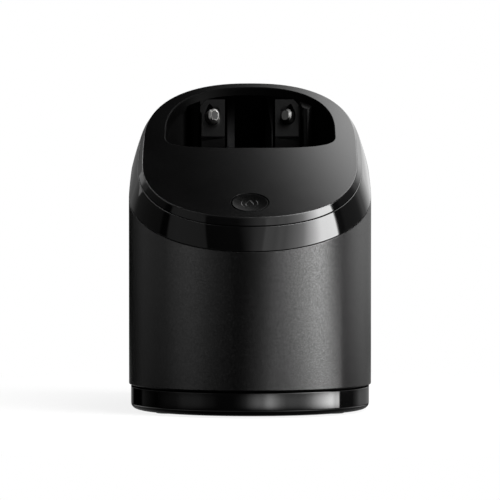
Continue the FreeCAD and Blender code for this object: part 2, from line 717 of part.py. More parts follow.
fillet(cover, lambda e: on_face(e) and e.BoundBox.XLength > 80.0, 0.7)
fillet(cover, lambda e: on_face(e) and e.BoundBox.XLength < 20.0, 0.3, "PartDesign::Chamfer")
keep(cover, "head_cover")

# gasket between the cover's lip and the tub
ring = new_body("tub_ring")
sk = sketch(ring, "ring_outer", offset=60.0)
curve(sk, well_line(2.6))
pad(ring, sk, 140.0)
sk = sketch(ring, "ring_inner", offset=60.0)
curve(sk, well_line(0.5))
cut(ring, sk, 141.0, reverse=True)
side_cut(ring, "ring_above", above("face_height", "face_slope", -6.2))
side_cut(ring, "ring_below", below("face_height", "face_slope", -6.6))
keep(ring, "tub_gasket")

# cradle tub: the recess for the shaver. Its back slopes forward below, to leave room for the column and the rods
TUB_FLOOR = 88.0
tub_out = new_body("tub_outer")
sk = sketch(tub_out, "tub_line", offset=TUB_FLOOR)
curve(sk, well_line(2.9))
pad(tub_out, sk, 120.0)
side_cut(tub_out, "tub_top", above("face_height", "face_slope", -6.6))
side_cut(tub_out, "tub_back", [(54.8, 60.0), (54.8, 107.0), (66.0, 120.0), (79.5, 132.0), (120.0, 132.0), (120.0, 60.0)])
tub_in = new_body("tub_inner")
sk = sketch(tub_in, "tub_bore", offset=TUB_FLOOR + 2.0)
curve(sk, well_line(1.0))
pad(tub_in, sk, 120.0)
side_cut(tub_in, "bore_back", [(52.9, 60.0), (52.9, 107.8), (64.8, 121.6), (79.2, 134.4), (120.0, 134.4), (120.0, 60.0)])
tub_cut = doc.addObject("Part::Cut", "tub_cut")
tub_cut.Base, tub_cut.Tool = tub_out, tub_in
holes = doc.addObject("Part::Compound", "tub_holes")
vent = doc.addObject("Part::Box", "tub_vent")
vent.Length, vent.Width, vent.Height = 10.0, 8.0, 5.0
vent.Placement = Placement(Vector(19.0, 9.0 + SHIFT, 91.0), Rotation())
holes.Links = [column(-24.0, Y(24.0), 80.0, 2.0, 14.0, "feed_hole"), column(20.0, Y(34.0), 80.0, 3.3, 14.0, "drain_hole"), vent]
tub = doc.addObject("Part::Cut", "tub")
tub.Base, tub.Tool = tub_cut, holes
keep(tub, "cradle_tub")

# contact block: the moulding on the back of the recess. Two faces carry the pins, a deep channel runs between them
insert = new_body("insert")
sk = sketch(insert, "insert_line", offset=100.0)
curve(sk, well_line(0.7))
pad(insert, sk, 100.0)
side_cut(insert, "insert_top", above("face_height", "face_slope", -6.9))
# it rises inside the cover's lip, to leave only a low step under the rim
sk = sketch(insert, "insert_rise", offset=140.0)
curve(sk, well_line(-0.3))
pad(insert, sk, 60.0)
side_cut(insert, "insert_ledge", above("face_height", "face_slope", -4.0))
side_cut(insert, "insert_front", [(-60.0, 90.0), (61.4, 90.0), (61.4, 200.0), (-60.0, 200.0)])
side_cut(insert, "insert_bottom", [(50.0, 60.0), (50.0, 133.0), (100.0, 133.0), (100.0, 60.0)])
# between the flanks the two faces lean back
side_cut(insert, "insert_lean", [(50.0, 139.0), (61.4, 139.0), (71.0, 158.6), (71.0, 200.0), (50.0, 200.0)], 26.3)
sk = sketch(insert, "channel", offset=210.0)
polygon(sk, [(-11.4, 50.0 + SHIFT), (11.4, 50.0 + SHIFT), (11.4, 63.5 + SHIFT), (8.2, 73.0 + SHIFT), (8.2, 74.8 + SHIFT),
             (-8.2, 74.8 + SHIFT), (-8.2, 73.0 + SHIFT), (-11.4, 63.5 + SHIFT)])
cut(insert, sk, 160.0)
# slots that part each face from the channel's wall, and from its flank, whose front is rounded
sk = sketch(insert, "slots", offset=210.0)
for side in (-1.0, 1.0):
    rect(sk, min(side * 12.0, side * 13.3), Y(50.0), max(side * 12.0, side * 13.3), Y(71.4))
    flank = [(side * (30.0 - 2.9 * math.cos(math.radians(a))), Y(65.2 - 3.8 * math.sin(math.radians(a)))) for a in range(0, 181, 15)]
    polygon(sk, [(side * 25.6, Y(50.0)), (side * 25.6, Y(67.6)), (side * 27.1, Y(67.6))] + flank
            + [(side * 32.9, Y(90.0)), (side * 60.0, Y(90.0)), (side * 60.0, Y(50.0))])
cut(insert, sk, 160.0)
# a notch with its point up above each pin, and a narrow gap under each face
sk = sketch(insert, "notches", "XZ_Plane", offset=-Y(55.0))
for side in (-1.0, 1.0):
    x = side * (CELLS["contact_x"] + 0.5)
    polygon(sk, [(x - 3.2, 152.4), (x + 3.2, 152.4), (x, 157.6)])
    polygon(sk, [(side * 14.2, 138.3), (side * 14.2, 137.9), (side * 26.0, 136.2), (side * 26.0, 138.6)])
cut(insert, sk, 14.2)
AIM = []
bore_list = []
for side in (-1.0, 1.0):
    aim = Vector(-side * 0.33, -0.92, 0.2)
    aim.normalize()
    rise = Vector(0, 0, 1) - aim * aim.z
    rise.normalize()
    AIM.append((aim, Rotation(rise, aim.cross(rise), aim, "ZXY")))
    tip = Vector(side * CELLS["contact_x"], CELLS["contact_y"] + SHIFT, CELLS["contact_z"])
    c = new_body("pin_bore_left" if side < 0 else "pin_bore_right")
    sk = sketch(c, c.Name + "_line")
    stadium(sk, 0.0, 0.0, CELLS["contact_tall"] + 0.3, CELLS["contact_radius"] + 0.3)
    pad(c, sk, 18.0)
    c.Placement = Placement(tip - aim * 11.2, AIM[-1][1])
    bore_list.append(c)
bores = doc.addObject("Part::Compound", "pin_bores")
bores.Links = bore_list
contact_block = doc.addObject("Part::Cut", "block")
contact_block.Base, contact_block.Tool = insert, bores
keep(contact_block, "contact_block")

# side ribs: two thin curved walls that steady the shaver
ribs_b = new_body("ribs")
sk = sketch(ribs_b, "ribs_line", offset=TUB_FLOOR + 2.0)
curve(sk, well_line(-4.6))
pad(ribs_b, sk, 100.0)
sk = sketch(ribs_b, "ribs_inner", offset=TUB_FLOOR + 1.9)
curve(sk, well_line(-6.4))
cut(ribs_b, sk, 101.0, reverse=True)
side_cut(ribs_b, "ribs_top", above("face_height", "face_slope", -9.0))
side_cut(ribs_b, "ribs_low", [(0.0, 131.0), (100.0, 131.0), (100.0, 220.0), (0.0, 220.0)])
side_cut(ribs_b, "ribs_front", [(-60.0, 60.0), (24.0, 60.0), (24.0, 220.0), (-60.0, 220.0)])
side_cut(ribs_b, "ribs_back", [(52.4, 60.0), (52.4, 108.0), (60.6, 118.4), (60.6, 220.0), (120.0, 220.0), (120.0, 60.0)])
keep(ribs_b, "side_ribs")

# chassis plate: carries the pump, the fan and the latch, and is screwed to the shell's bosses
frame = new_body("frame")
sk = sketch(frame, "frame_line", offset=D("chassis_bottom"))
curve(sk, body_line(2.5))
pad(frame, sk, D("chassis_thick"))
sk = sketch(frame, "frame_holes", offset=D("chassis_bottom") + 30.0)
polygon(sk, [(-16.4, 54.4 + SHIFT), (16.4, 54.4 + SHIFT), (16.4, 71.7 + SHIFT), (8.8, 71.7 + SHIFT), (8.8, 79.2 + SHIFT),
             (-8.8, 79.2 + SHIFT), (-8.8, 71.7 + SHIFT), (-16.4, 71.7 + SHIFT)])
circle(sk, -D("rod_x"), Y(D("rod_y")), 3.8)
circle(sk, D("rod_x"), Y(D("rod_y")), 3.8)
circle(sk, D("pump_x"), Y(D("pump_y")), 3.6)
circle(sk, 20.0, Y(34.0), 4.6)
for x, y in BOSSES:
    circle(sk, x, Y(y), 1.7)
cut(frame, sk, 40.0)
sk = sketch(frame, "frame_ears", offset=D("chassis_bottom") + 1.0)
rect(sk, -12.4, Y(72.0), -9.6, Y(78.0))
rect(sk, 9.6, Y(72.0), 12.4, Y(78.0))
pad(frame, sk, 14.4)
sk = sketch(frame, "ear_bores", "YZ_Plane")
circle(sk, Y(D("latch_y")), D("latch_z"), D("latch_pin_radius") + 0.02)
cut(frame, sk, 40.0, middle=True)
# feet under the fan motor and the pump stay in place by low rims
sk = sketch(frame, "frame_rims", offset=D("chassis_bottom") + 1.0)
circle(sk, D("pump_x"), Y(D("pump_y")), 16.4)
circle(sk, D("pump_x"), Y(D("pump_y")), 14.3)
circle(sk, D("fan_x"), Y(D("fan_y")), 13.0)
circle(sk, D("fan_x"), Y(D("fan_y")), 11.3)
pad(frame, sk, 2.8)
keep(frame, "chassis")

# carriage: two legs round the guide rods, tied in front of the column
legs = new_body("legs")
sk = sketch(legs, "leg_line", offset=26.0)
rect(sk, -33.0, Y(57.0), -18.6, Y(71.0))
rect(sk, 18.6, Y(57.0), 33.0, Y(71.0))
pad(legs, sk, D("chassis_bottom") - 26.0)
sk = sketch(legs, "leg_webs", offset=38.0)
rect(sk, -33.0, Y(53.4), -18.6, Y(58.0))
rect(sk, 18.6, Y(53.4), 33.0, Y(58.0))
pad(legs, sk, D("chassis_bottom") - 38.0)
sk = sketch(legs, "leg_tie", offset=38.0)
rect(sk, -30.0, Y(53.4), 30.0, Y(55.3))
pad(legs, sk, D("chassis_bottom") - 38.0)
sk = sketch(legs, "leg_bores", offset=20.0)
circle(sk, -D("rod_x"), Y(D("rod_y")), D("bush_outer"))
circle(sk, D("rod_x"), Y(D("rod_y")), D("bush_outer"))
cut(legs, sk, 32.0, reverse=True)
sk = sketch(legs, "leg_tops", offset=50.0)
circle(sk, -D("rod_x"), Y(D("rod_y")), 3.8)
circle(sk, D("rod_x"), Y(D("rod_y")), 3.8)
cut(legs, sk, 10.0, reverse=True)
keep(legs, "carriage")

bushes = new_body("bushes")
for low in (26.0, 43.8):
    sk = sketch(bushes, "bush_line", offset=low)
    for side in (-1.0, 1.0):
        circle(sk, side * D("rod_x"), Y(D("rod_y")), D("bush_outer") - 0.02)
        circle(sk, side * D("rod_x"), Y(D("rod_y")), D("rod_radius") + D("bush_clearance"))
    pad(bushes, sk, 8.0)
keep(bushes, "slide_bushes")

hscrews = new_body("hscrews")
sk = sketch(hscrews, "hscrew_heads", offset=D("chassis_bottom") - 1.8)
for x, y in BOSSES:
    circle(sk, x, Y(y), 2.6)
pad(hscrews, sk, 1.8)
sk = sketch(hscrews, "hscrew_shanks", offset=D("chassis_bottom") - 0.5)
for x, y in BOSSES:
    circle(sk, x, Y(y), 1.4)
pad(hscrews, sk, 14.0)
keep(hscrews, "housing_screws")

# pump: a cup with an impeller under a cover, its motor on top
FLOOR = D("chassis_bottom") + D("chassis_thick")
pump = new_body("pump")
sk = sketch(pump, "pump_outer", offset=FLOOR)
circle(sk, D("pump_x"), Y(D("pump_y")), 14.0)
pad(pump, sk, 9.2)
sk = sketch(pump, "pump_inner", offset=FLOOR + 2.0)
circle(sk, D("pump_x"), Y(D("pump_y")), 11.0)
cut(pump, sk, 20.0, reverse=True)
sk = sketch(pump, "pump_inlet", offset=FLOOR - 1.0)
circle(sk, D("pump_x"), Y(D("pump_y")), 2.2)
cut(pump, sk, 6.0, reverse=True)
sk = sketch(pump, "pump_nozzle", "XZ_Plane", offset=-Y(-3.4))
circle(sk, D("pump_x"), FLOOR + 5.0, 3.4)
pad(pump, sk, 5.4, reverse=True)
sk = sketch(pump, "pump_outlet", "XZ_Plane", offset=-Y(-6.0))
circle(sk, D("pump_x"), FLOOR + 5.0, 2.0)
cut(pump, sk, 20.0)
keep(pump, "pump_housing")

pcover = new_body("pcover")
sk = sketch(pcover, "pcover_line", offset=FLOOR + 9.2)
circle(sk, D("pump_x"), Y(D("pump_y")), 14.0)
circle(sk, D("pump_x"), Y(D("pump_y")), 1.6)
pad(pcover, sk, 2.0)
keep(pcover, "pump_cover")

motor = new_body("motor")
sk = sketch(motor, "motor_can", offset=FLOOR + 11.2)
circle(sk, D("pump_x"), Y(D("pump_y")), 12.0)
pad(motor, sk, 25.0)
sk = sketch(motor, "motor_bore", offset=FLOOR + 11.0)
circle(sk, D("pump_x"), Y(D("pump_y")), D("shaft_radius") + 0.05)
cut(motor, sk, 23.0, reverse=True)
fillet(motor, lambda e: e.BoundBox.ZMin > 94.0 and e.BoundBox.XLength > 20, 1.5)
keep(motor, "pump_motor")

pshaft = column(D("pump_x"), Y(D("pump_y")), FLOOR + 2.4, D("shaft_radius"), 31.0, "pump_spindle")
keep(pshaft, "pump_shaft")

wheel = new_body("wheel")
sk = sketch(wheel, "wheel_disc", offset=FLOOR + 3.0)
circle(sk, D("pump_x"), Y(D("pump_y")), 9.6)
pad(wheel, sk, 1.4)
sk = sketch(wheel, "wheel_hub", offset=FLOOR + 3.0)
circle(sk, D("pump_x"), Y(D("pump_y")), 2.6)
pad(wheel, sk, 5.4)
sk = sketch(wheel, "wheel_vane", offset=FLOOR + 4.0)
rect(sk, D("pump_x") + 2.0, Y(D("pump_y")) - 0.6, D("pump_x") + 9.2, Y(D("pump_y")) + 0.6)
pad(wheel, sk, 3.6)
rect_x = wheel.newObject("PartDesign::Pad", "vane_cross")
sk = sketch(wheel, "wheel_vane_two", offset=FLOOR + 4.0)
rect(sk, D("pump_x") - 9.2, Y(D("pump_y")) - 0.6, D("pump_x") - 2.0, Y(D("pump_y")) + 0.6)
rect(sk, D("pump_x") - 0.6, Y(D("pump_y")) + 2.0, D("pump_x") + 0.6, Y(D("pump_y")) + 9.2)
rect(sk, D("pump_x") - 0.6, Y(D("pump_y")) - 9.2, D("pump_x") + 0.6, Y(D("pump_y")) - 2.0)
rect_x.Profile = sk
rect_x.Length = 3.6
sk = sketch(wheel, "wheel_bore", offset=FLOOR + 2.0)
circle(sk, D("pump_x"), Y(D("pump_y")), D("shaft_radius") + 0.01)
cut(wheel, sk, 10.0, reverse=True)
keep(wheel, "pump_impeller")

# tubes: suction from the cartridge, feed up to the recess, drain back down
suction = new_body("suction")
sk = sketch(suction, "suction_line", offset=36.0)
circle(sk, D("pump_x"), Y(D("pump_y")), 3.5)
circle(sk, D("pump_x"), Y(D("pump_y")), 2.2)
pad(suction, sk, FLOOR - 36.0)
keep(suction, "suction_tube")

feed = new_body("feed")
bend = feed.newObject("Sketcher::SketchObject", "feed_path")
bend.AttachmentSupport = [(origin_plane(feed, "YZ_Plane"), "")]
bend.MapMode = "FlatFace"
bend.AttachmentOffset = Placement(Vector(0, 0, CELLS["pump_x"]), Rotation())
bend.setExpression("AttachmentOffset.Base.z", "dims.pump_x")
y0, y1, z0, z1, rr = 2.0 + SHIFT, 24.0 + SHIFT, num(FLOOR) + 5.0, TUB_FLOOR, 12.0
bend.addGeometry(Part.LineSegment(Vector(y0, z0, 0), Vector(y1 - rr, z0, 0)), False)
bend.addGeometry(Part.ArcOfCircle(Part.Circle(Vector(y1 - rr, z0 + rr, 0), Vector(0, 0, 1), rr), -math.pi / 2, 0), False)
bend.addGeometry(Part.LineSegment(Vector(y1, z0 + rr, 0), Vector(y1, z1, 0)), False)
bend.addConstraint(Sketcher.Constraint("Coincident", 0, 2, 1, 1))
bend.addConstraint(Sketcher.Constraint("Coincident", 1, 2, 2, 1))
sk = sketch(feed, "feed_ring", "XZ_Plane", offset=-(y0))
circle(sk, D("pump_x"), FLOOR + 5.0, 3.4)
circle(sk, D("pump_x"), FLOOR + 5.0, 2.0)
pipe = feed.newObject("PartDesign::AdditivePipe", "feed_pipe")
pipe.Profile = sk
pipe.Spine = (bend, ["Edge1", "Edge2", "Edge3"])
keep(feed, "feed_tube")

drain = new_body("drain")
sk = sketch(drain, "drain_line", offset=40.0)
circle(sk, 20.0, Y(34.0), 4.5)
circle(sk, 20.0, Y(34.0), 3.3)
pad(drain, sk, TUB_FLOOR - 40.0)
keep(drain, "drain_tube")

# fan: a motor on the chassis, the wheel in a scroll above it, and a duct to the recess
fmotor = new_body("fmotor")
sk = sketch(fmotor, "fmotor_can", offset=FLOOR)
circle(sk, D("fan_x"), Y(D("fan_y")), 11.0)
pad(fmotor, sk, 25.2)
sk = sketch(fmotor, "fmotor_bore", offset=FLOOR + 3.0)
circle(sk, D("fan_x"), Y(D("fan_y")), D("shaft_radius") + 0.05)
cut(fmotor, sk, 30.0, reverse=True)
keep(fmotor, "fan_motor")

scroll = new_body("scroll")
sk = sketch(scroll, "scroll_outer", offset=83.9)
circle(sk, D("fan_x"), Y(D("fan_y")), 17.0)
pad(scroll, sk, 14.0)
sk = sketch(scroll, "scroll_duct", offset=89.5)
rect(sk, 17.0, Y(2.0), 31.0, Y(12.0))
pad(scroll, sk, 8.0)
sk = sketch(scroll, "scroll_inner", offset=85.6)
circle(sk, D("fan_x"), Y(D("fan_y")), 15.4)
cut(scroll, sk, 10.7, reverse=True)
sk = sketch(scroll, "scroll_way", "XZ_Plane", offset=-Y(-2.0))
rect(sk, 19.0, 91.0, 29.0, 96.0)
cut(scroll, sk, 30.0)
sk = sketch(scroll, "scroll_inlet", offset=80.0)
circle(sk, D("fan_x"), Y(D("fan_y")), 1.6)
cut(scroll, sk, 8.0, reverse=True)
sk = sketch(scroll, "scroll_mouth", offset=94.0)
circle(sk, D("fan_x"), Y(D("fan_y")), 8.0)
cut(scroll, sk, 8.0, reverse=True)
keep(scroll, "fan_housing")

fshaft = column(D("fan_x"), Y(D("fan_y")), FLOOR + 3.4, D("shaft_radius"), 31.0, "fan_spindle")
keep(fshaft, "fan_shaft")

blower = new_body("blower")
sk = sketch(blower, "blower_disc", offset=86.4)
circle(sk, D("fan_x"), Y(D("fan_y")), 13.6)
pad(blower, sk, 1.4)
sk = sketch(blower, "blower_hub", offset=86.4)
circle(sk, D("fan_x"), Y(D("fan_y")), 3.2)
pad(blower, sk, 6.0)
first = sketch(blower, "blower_blade", offset=87.0)
rect(first, 8.0, -0.45, 13.2, 0.45)
blower.Placement = Placement(Vector(0, 0, 0), Rotation())
for geo in range(first.ConstraintCount - 1, -1, -1):
    if first.Constraints[geo].Type in ("DistanceX", "DistanceY", "Horizontal", "Vertical"):
        first.delConstraint(geo)
for k in range(4):
    first.setExpression("AttachmentOffset.Base.z", None)
first.AttachmentOffset = Placement(Vector(CELLS["fan_x"], CELLS["fan_y"] + SHIFT, 87.0), Rotation())
blade = pad(blower, first, 6.6)
doc.recompute()
turn = blower.newObject("PartDesign::PolarPattern", "blower_blades")
turn.Originals = [blade]
turn.Axis = (first, ["N_Axis"])
turn.Angle = 360.0
turn.Occurrences = 12
blower.Tip = turn
sk = sketch(blower, "blower_bore", offset=80.0)
circle(sk, D("fan_x"), Y(D("fan_y")), D("shaft_radius") + 0.01)
cut(blower, sk, 20.0, reverse=True)
keep(blower, "fan_wheel")

# control board under the start button, parallel to the top face
board = new_body("board")
sk = slant(board, "board_line", 10.1)
rect(sk, -14.0, -12.0, 14.0, 13.0)
pad(board, sk, 1.6)
sk = slant(board, "board_chips", 10.0)
rect(sk, -12.4, 4.4, -5.0, 10.6)
rect(sk, 5.6, 5.4, 12.4, 11.4)
rect(sk, -10.0, -9.0, 10.0, -3.0)
pad(board, sk, 2.1, reverse=True)
keep(board, "control_board")

switch = new_body("switch")
sk = slant(switch, "switch_case", 8.5)
rect(sk, -3.0, -3.0, 3.0, 3.0)
pad(switch, sk, 1.8)
sk = slant(switch, "switch_stub", 7.0)
circle(sk, 0.0, 0.0, 1.6)
pad(switch, sk, 0.8)
keep(switch, "tact_switch")

guide = new_body("guide")
sk = slant(guide, "guide_line", 8.5)
circle(sk, 0.0, 0.0, 11.2)
circle(sk, 0.0, 0.0, 9.4)
pad(guide, sk, 5.4)
keep(guide, "button_guide")

# start button: a dished cap with a stem
key = new_body("key")
sk = slant(key, "key_stem", 5.2)
circle(sk, 0.0, 0.0, 2.6)
pad(key, sk, 3.0)
sk = slant(key, "key_cap", 3.0)
circle(sk, 0.0, 0.0, D("key_radius"))
pad(key, sk, 2.95)
fillet(key, lambda e: e.BoundBox.XLength > 17.0 and e.BoundBox.ZMax > plane_at("face_height", "face_slope", CELLS["key_y"]) + 3.5, 0.45)
top = Vector(0, CELLS["key_y"] + SHIFT, plane_at("face_height", "face_slope", CELLS["key_y"]))
dish = doc.addObject("Part::Sphere", "key_dish")
dish.Radius = 72.0
dish.Placement = Placement(top + NORMAL * (72.0 - 0.55), Rotation())
button = doc.addObject("Part::Cut", "button")
button.Base, button.Tool = key, dish
keep(button, "start_button")

bspring = new_body("bspring")
sk = sketch(bspring, "bspring_wire", "XZ_Plane")
circle(sk, 4.6, 0.4, 0.3)
coil = bspring.newObject("PartDesign::AdditiveHelix", "bspring_coil")
coil.Profile = sk
coil.ReferenceAxis = (sk, ["V_Axis"])
coil.Mode = "pitch-height-angle"
coil.Pitch, coil.Height = 1.15, 3.45
bspring.Placement = Placement(top - NORMAL * 8.4, Rotation(Vector(1, 0, 0), math.degrees(FACE)))
keep(bspring, "button_spring")

# contact pins and their springs, each along its own slanting axis
for side, aim, name in ((-1.0, AIM[0], "contact_pin_left"), (1.0, AIM[1], "contact_pin_right")):
    pin = new_body(name + "_body")
    sk = sketch(pin, name + "_line")
    stadium(sk, 0.0, 0.0, CELLS["contact_tall"], CELLS["contact_radius"])
    pad(pin, sk, 8.8)
    fillet(pin, lambda e: e.BoundBox.ZMin > 8.7, 0.6)
    tip = Vector(side * CELLS["contact_x"], CELLS["contact_y"] + SHIFT, CELLS["contact_z"])
    pin.Placement = Placement(tip - aim[0] * 8.8, aim[1])
    keep(pin, name)
csprings = doc.addObject("Part::Compound", "csprings")
coils = []
for side, aim in ((-1.0, AIM[0]), (1.0, AIM[1])):
    tip = Vector(side * CELLS["contact_x"], CELLS["contact_y"] + SHIFT, CELLS["contact_z"])
    c = doc.addObject("Part::Torus", "contact_coil")
    c.Radius1, c.Radius2 = 1.7, 0.3
    c.Placement = Placement(tip - aim[0] * 10.75, aim[1])
    coils.append(c)
csprings.Links = coils
keep(csprings, "contact_springs")

# latch: a lever on a pin behind the column, turned by the lift button
lever = new_body("lever")
sk = sketch(lever, "lever_side", "YZ_Plane")
polygon(sk, [(74.0 + SHIFT, 55.0), (76.0 + SHIFT, 55.0), (76.0 + SHIFT, 82.0), (74.0 + SHIFT, 82.0)])
pad(lever, sk, 14.0, middle=True)
sk = sketch(lever, "lever_nose", "YZ_Plane")
polygon(sk, [(71.35 + SHIFT, 58.6), (74.5 + SHIFT, 58.6), (74.5 + SHIFT, 55.0), (73.2 + SHIFT, 55.0), (71.35 + SHIFT, 57.2)])
pad(lever, sk, 12.0, middle=True)
sk = sketch(lever, "lever_hub", "YZ_Plane")
circle(sk, Y(D("latch_y")), D("latch_z"), 3.0)
pad(lever, sk, 14.0, middle=True)
sk = sketch(lever, "lever_bore", "YZ_Plane")
circle(sk, Y(D("latch_y")), D("latch_z"), D("latch_pin_radius") + 0.05)
cut(lever, sk, 30.0, middle=True)
keep(lever, "latch_lever")

pivot = new_body("pivot")
sk = sketch(pivot, "pivot_line", "YZ_Plane")
circle(sk, Y(D("latch_y")), D("latch_z"), D("latch_pin_radius"))
pad(pivot, sk, 25.6, middle=True)
keep(pivot, "latch_pin")

lspring = doc.addObject("Part::Compound", "lspring")
turns = []
for k in range(3):
    c = doc.addObject("Part::Torus", "latch_coil")
    c.Radius1, c.Radius2 = 2.1, 0.3
    c.Placement = Placement(Vector(7.65 + 0.62 * k, CELLS["latch_y"] + SHIFT, CELLS["latch_z"]), Rotation(Vector(0, 0, 1), Vector(1, 0, 0)))
    turns.append(c)
lspring.Links = turns
keep(lspring, "latch_spring")

# lift button: a rounded key in the rear wall, with a flange inside and a stub that meets the lever
lift_block = new_body("lift_block")
sk = sketch(lift_block, "lift_line", offset=60.0)
curve(sk, body_line(0.25))
pad(lift_block, sk, 40.0)
lift_form = new_body("lift_form")
half, tall, mid = D("lift_key_half"), D("lift_key_tall"), D("lift_key_z")
sk = sketch(lift_form, "lift_face", "XZ_Plane", offset=-Y(77.8))
round_rect(sk, -num(half), num(mid) - num(tall) / 2, num(half), num(mid) + num(tall) / 2, 3.0)
pad(lift_form, sk, 20.0, reverse=True)
sk = sketch(lift_form, "lift_flange", "XZ_Plane", offset=-Y(77.1))
rect(sk, -half - 1.6, mid - 4.5, -8.5, mid + tall / 2 + 1.6)
rect(sk, 8.5, mid - 4.5, half + 1.6, mid + tall / 2 + 1.6)
pad(lift_form, sk, 1.5, reverse=True)
sk = sketch(lift_form, "lift_stub", "XZ_Plane", offset=-Y(76.15))
rect(sk, -4.0, 80.0, 4.0, 83.0)
pad(lift_form, sk, 2.0, reverse=True)
lift = doc.addObject("Part::Common", "lift")
lift.Base, lift.Tool = lift_form, lift_block
keep(lift, "lift_button")

# ================================================================ check and write

doc.recompute()
bad = []
for obj in doc.Objects:
    if "Invalid" in obj.State or "Error" in obj.State:
        bad.append("%s (%s)" % (obj.Name, ",".join(obj.State)))
for node in NODES:
    if node.Shape.isNull() or not node.Shape.isValid() or not node.Shape.Solids:
        bad.append("%s has no valid solid" % node.Label)
if bad:
    raise RuntimeError("; ".join(bad))

os.makedirs("parts", exist_ok=True)
total = None
for node in NODES:
    node.Shape.exportStep(os.path.join("parts", node.Label + ".step"))
    box = node.Shape.BoundBox
    total = FreeCAD.BoundBox(box) if total is None else total.united(box)
    print("%-20s solids %2d  volume %9.1f  box %s" % (node.Label, len(node.Shape.Solids), node.Shape.Volume,
          " ".join("%.2f" % v for v in (box.XMin, box.YMin, box.ZMin, box.XMax, box.YMax, box.ZMax))))
print("nodes %d  box %s" % (len(NODES), total))
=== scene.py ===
import math

import bmesh
import bpy
import numpy as np
from mathutils import Matrix, Vector


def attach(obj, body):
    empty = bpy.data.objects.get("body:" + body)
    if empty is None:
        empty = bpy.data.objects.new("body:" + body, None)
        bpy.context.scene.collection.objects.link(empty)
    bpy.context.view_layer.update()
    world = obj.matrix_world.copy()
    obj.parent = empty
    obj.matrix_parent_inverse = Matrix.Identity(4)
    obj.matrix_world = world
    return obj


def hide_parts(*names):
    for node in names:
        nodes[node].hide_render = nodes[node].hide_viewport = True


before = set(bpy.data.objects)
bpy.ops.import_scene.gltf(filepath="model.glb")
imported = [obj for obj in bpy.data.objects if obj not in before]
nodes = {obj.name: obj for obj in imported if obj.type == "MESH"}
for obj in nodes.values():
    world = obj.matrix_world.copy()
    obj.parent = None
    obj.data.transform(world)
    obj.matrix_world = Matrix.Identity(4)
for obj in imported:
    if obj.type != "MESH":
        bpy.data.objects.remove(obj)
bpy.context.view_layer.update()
scene = bpy.context.scene

MM = 0.001
SHIFT = -12.95
FACE = math.atan(0.54)
NORMAL = Vector((0.0, -math.sin(FACE), math.cos(FACE)))


# ---------------------------------------------------------------- camera and view

cam_data = bpy.data.cameras.new("camera")
cam = bpy.data.objects.new("camera", cam_data)
scene.collection.objects.link(cam)
scene.camera = cam
cam_data.sensor_width = 36.0
cam_data.lens = 185.7
cam_data.clip_start, cam_data.clip_end = 0.05, 60.0
rise = math.radians(1.3)
target = Vector((0.0, SHIFT * MM, 0.08025))
cam.location = (0.0, SHIFT * MM - 1.3 * math.cos(rise), 0.080 + 1.3 * math.sin(rise))
cam.rotation_mode = "QUATERNION"
cam.rotation_quaternion = (target - cam.location).to_track_quat("-Z", "Y")
scene.view_settings.view_transform = "Standard"
scene.view_settings.look = "None"


# ---------------------------------------------------------------- materials


class Tree:
    """Short words for building a node tree."""

    def __init__(self, tree):
        self.t = tree

    def new(self, kind, **values):
        n = self.t.nodes.new(kind)
        for key, value in values.items():
            if hasattr(n, key):
                setattr(n, key, value)
            else:
                n.inputs[key.replace("_", " ")].default_value = value
        return n

    def link(self, a, b):
        self.t.links.new(a, b)

    def math(self, op, a, b=None, clamp=False):
        n = self.t.nodes.new("ShaderNodeMath")
        n.operation = op
        n.use_clamp = clamp
        for k, v in enumerate((a, b)):
            if v is None:
                continue
            if isinstance(v, (int, float)):
                n.inputs[k].default_value = v
            else:
                self.t.links.new(v, n.inputs[k])
        return n.outputs[0]

    def ramp(self, fac, stops, interpolation="LINEAR"):
        n = self.t.nodes.new("ShaderNodeValToRGB")
        r = n.color_ramp
        r.interpolation = interpolation
        while len(r.elements) < len(stops):
            r.elements.new(1.0)
        for e, (p, c) in zip(r.elements, stops):
            e.position = p
        for e, (p, c) in zip(r.elements, stops):
            e.color = (c, c, c, 1.0) if isinstance(c, (int, float)) else (*c, 1.0)
        self.t.links.new(fac, n.inputs[0])
        return n.outputs[0]

    def span(self, value, a, b, c, d):
        n = self.t.nodes.new("ShaderNodeMapRange")
        n.clamp = True
        self.t.links.new(value, n.inputs[0])
        for k, v in enumerate((a, b, c, d), start=1):
            n.inputs[k].default_value = v
        return n.outputs[0]

    def noise(self, coord, scale, detail=3.0, rough=0.55, stretch=None):
        n = self.t.nodes.new("ShaderNodeTexNoise")
        n.inputs["Scale"].default_value = scale
        n.inputs["Detail"].default_value = detail
        n.inputs["Roughness"].default_value = rough
        if stretch is not None:
            m = self.t.nodes.new("ShaderNodeMapping")
            m.inputs["Scale"].default_value = stretch
            self.t.links.new(coord, m.inputs["Vector"])
            coord = m.outputs[0]
        self.t.links.new(coord, n.inputs["Vector"])
        return n.outputs[0]


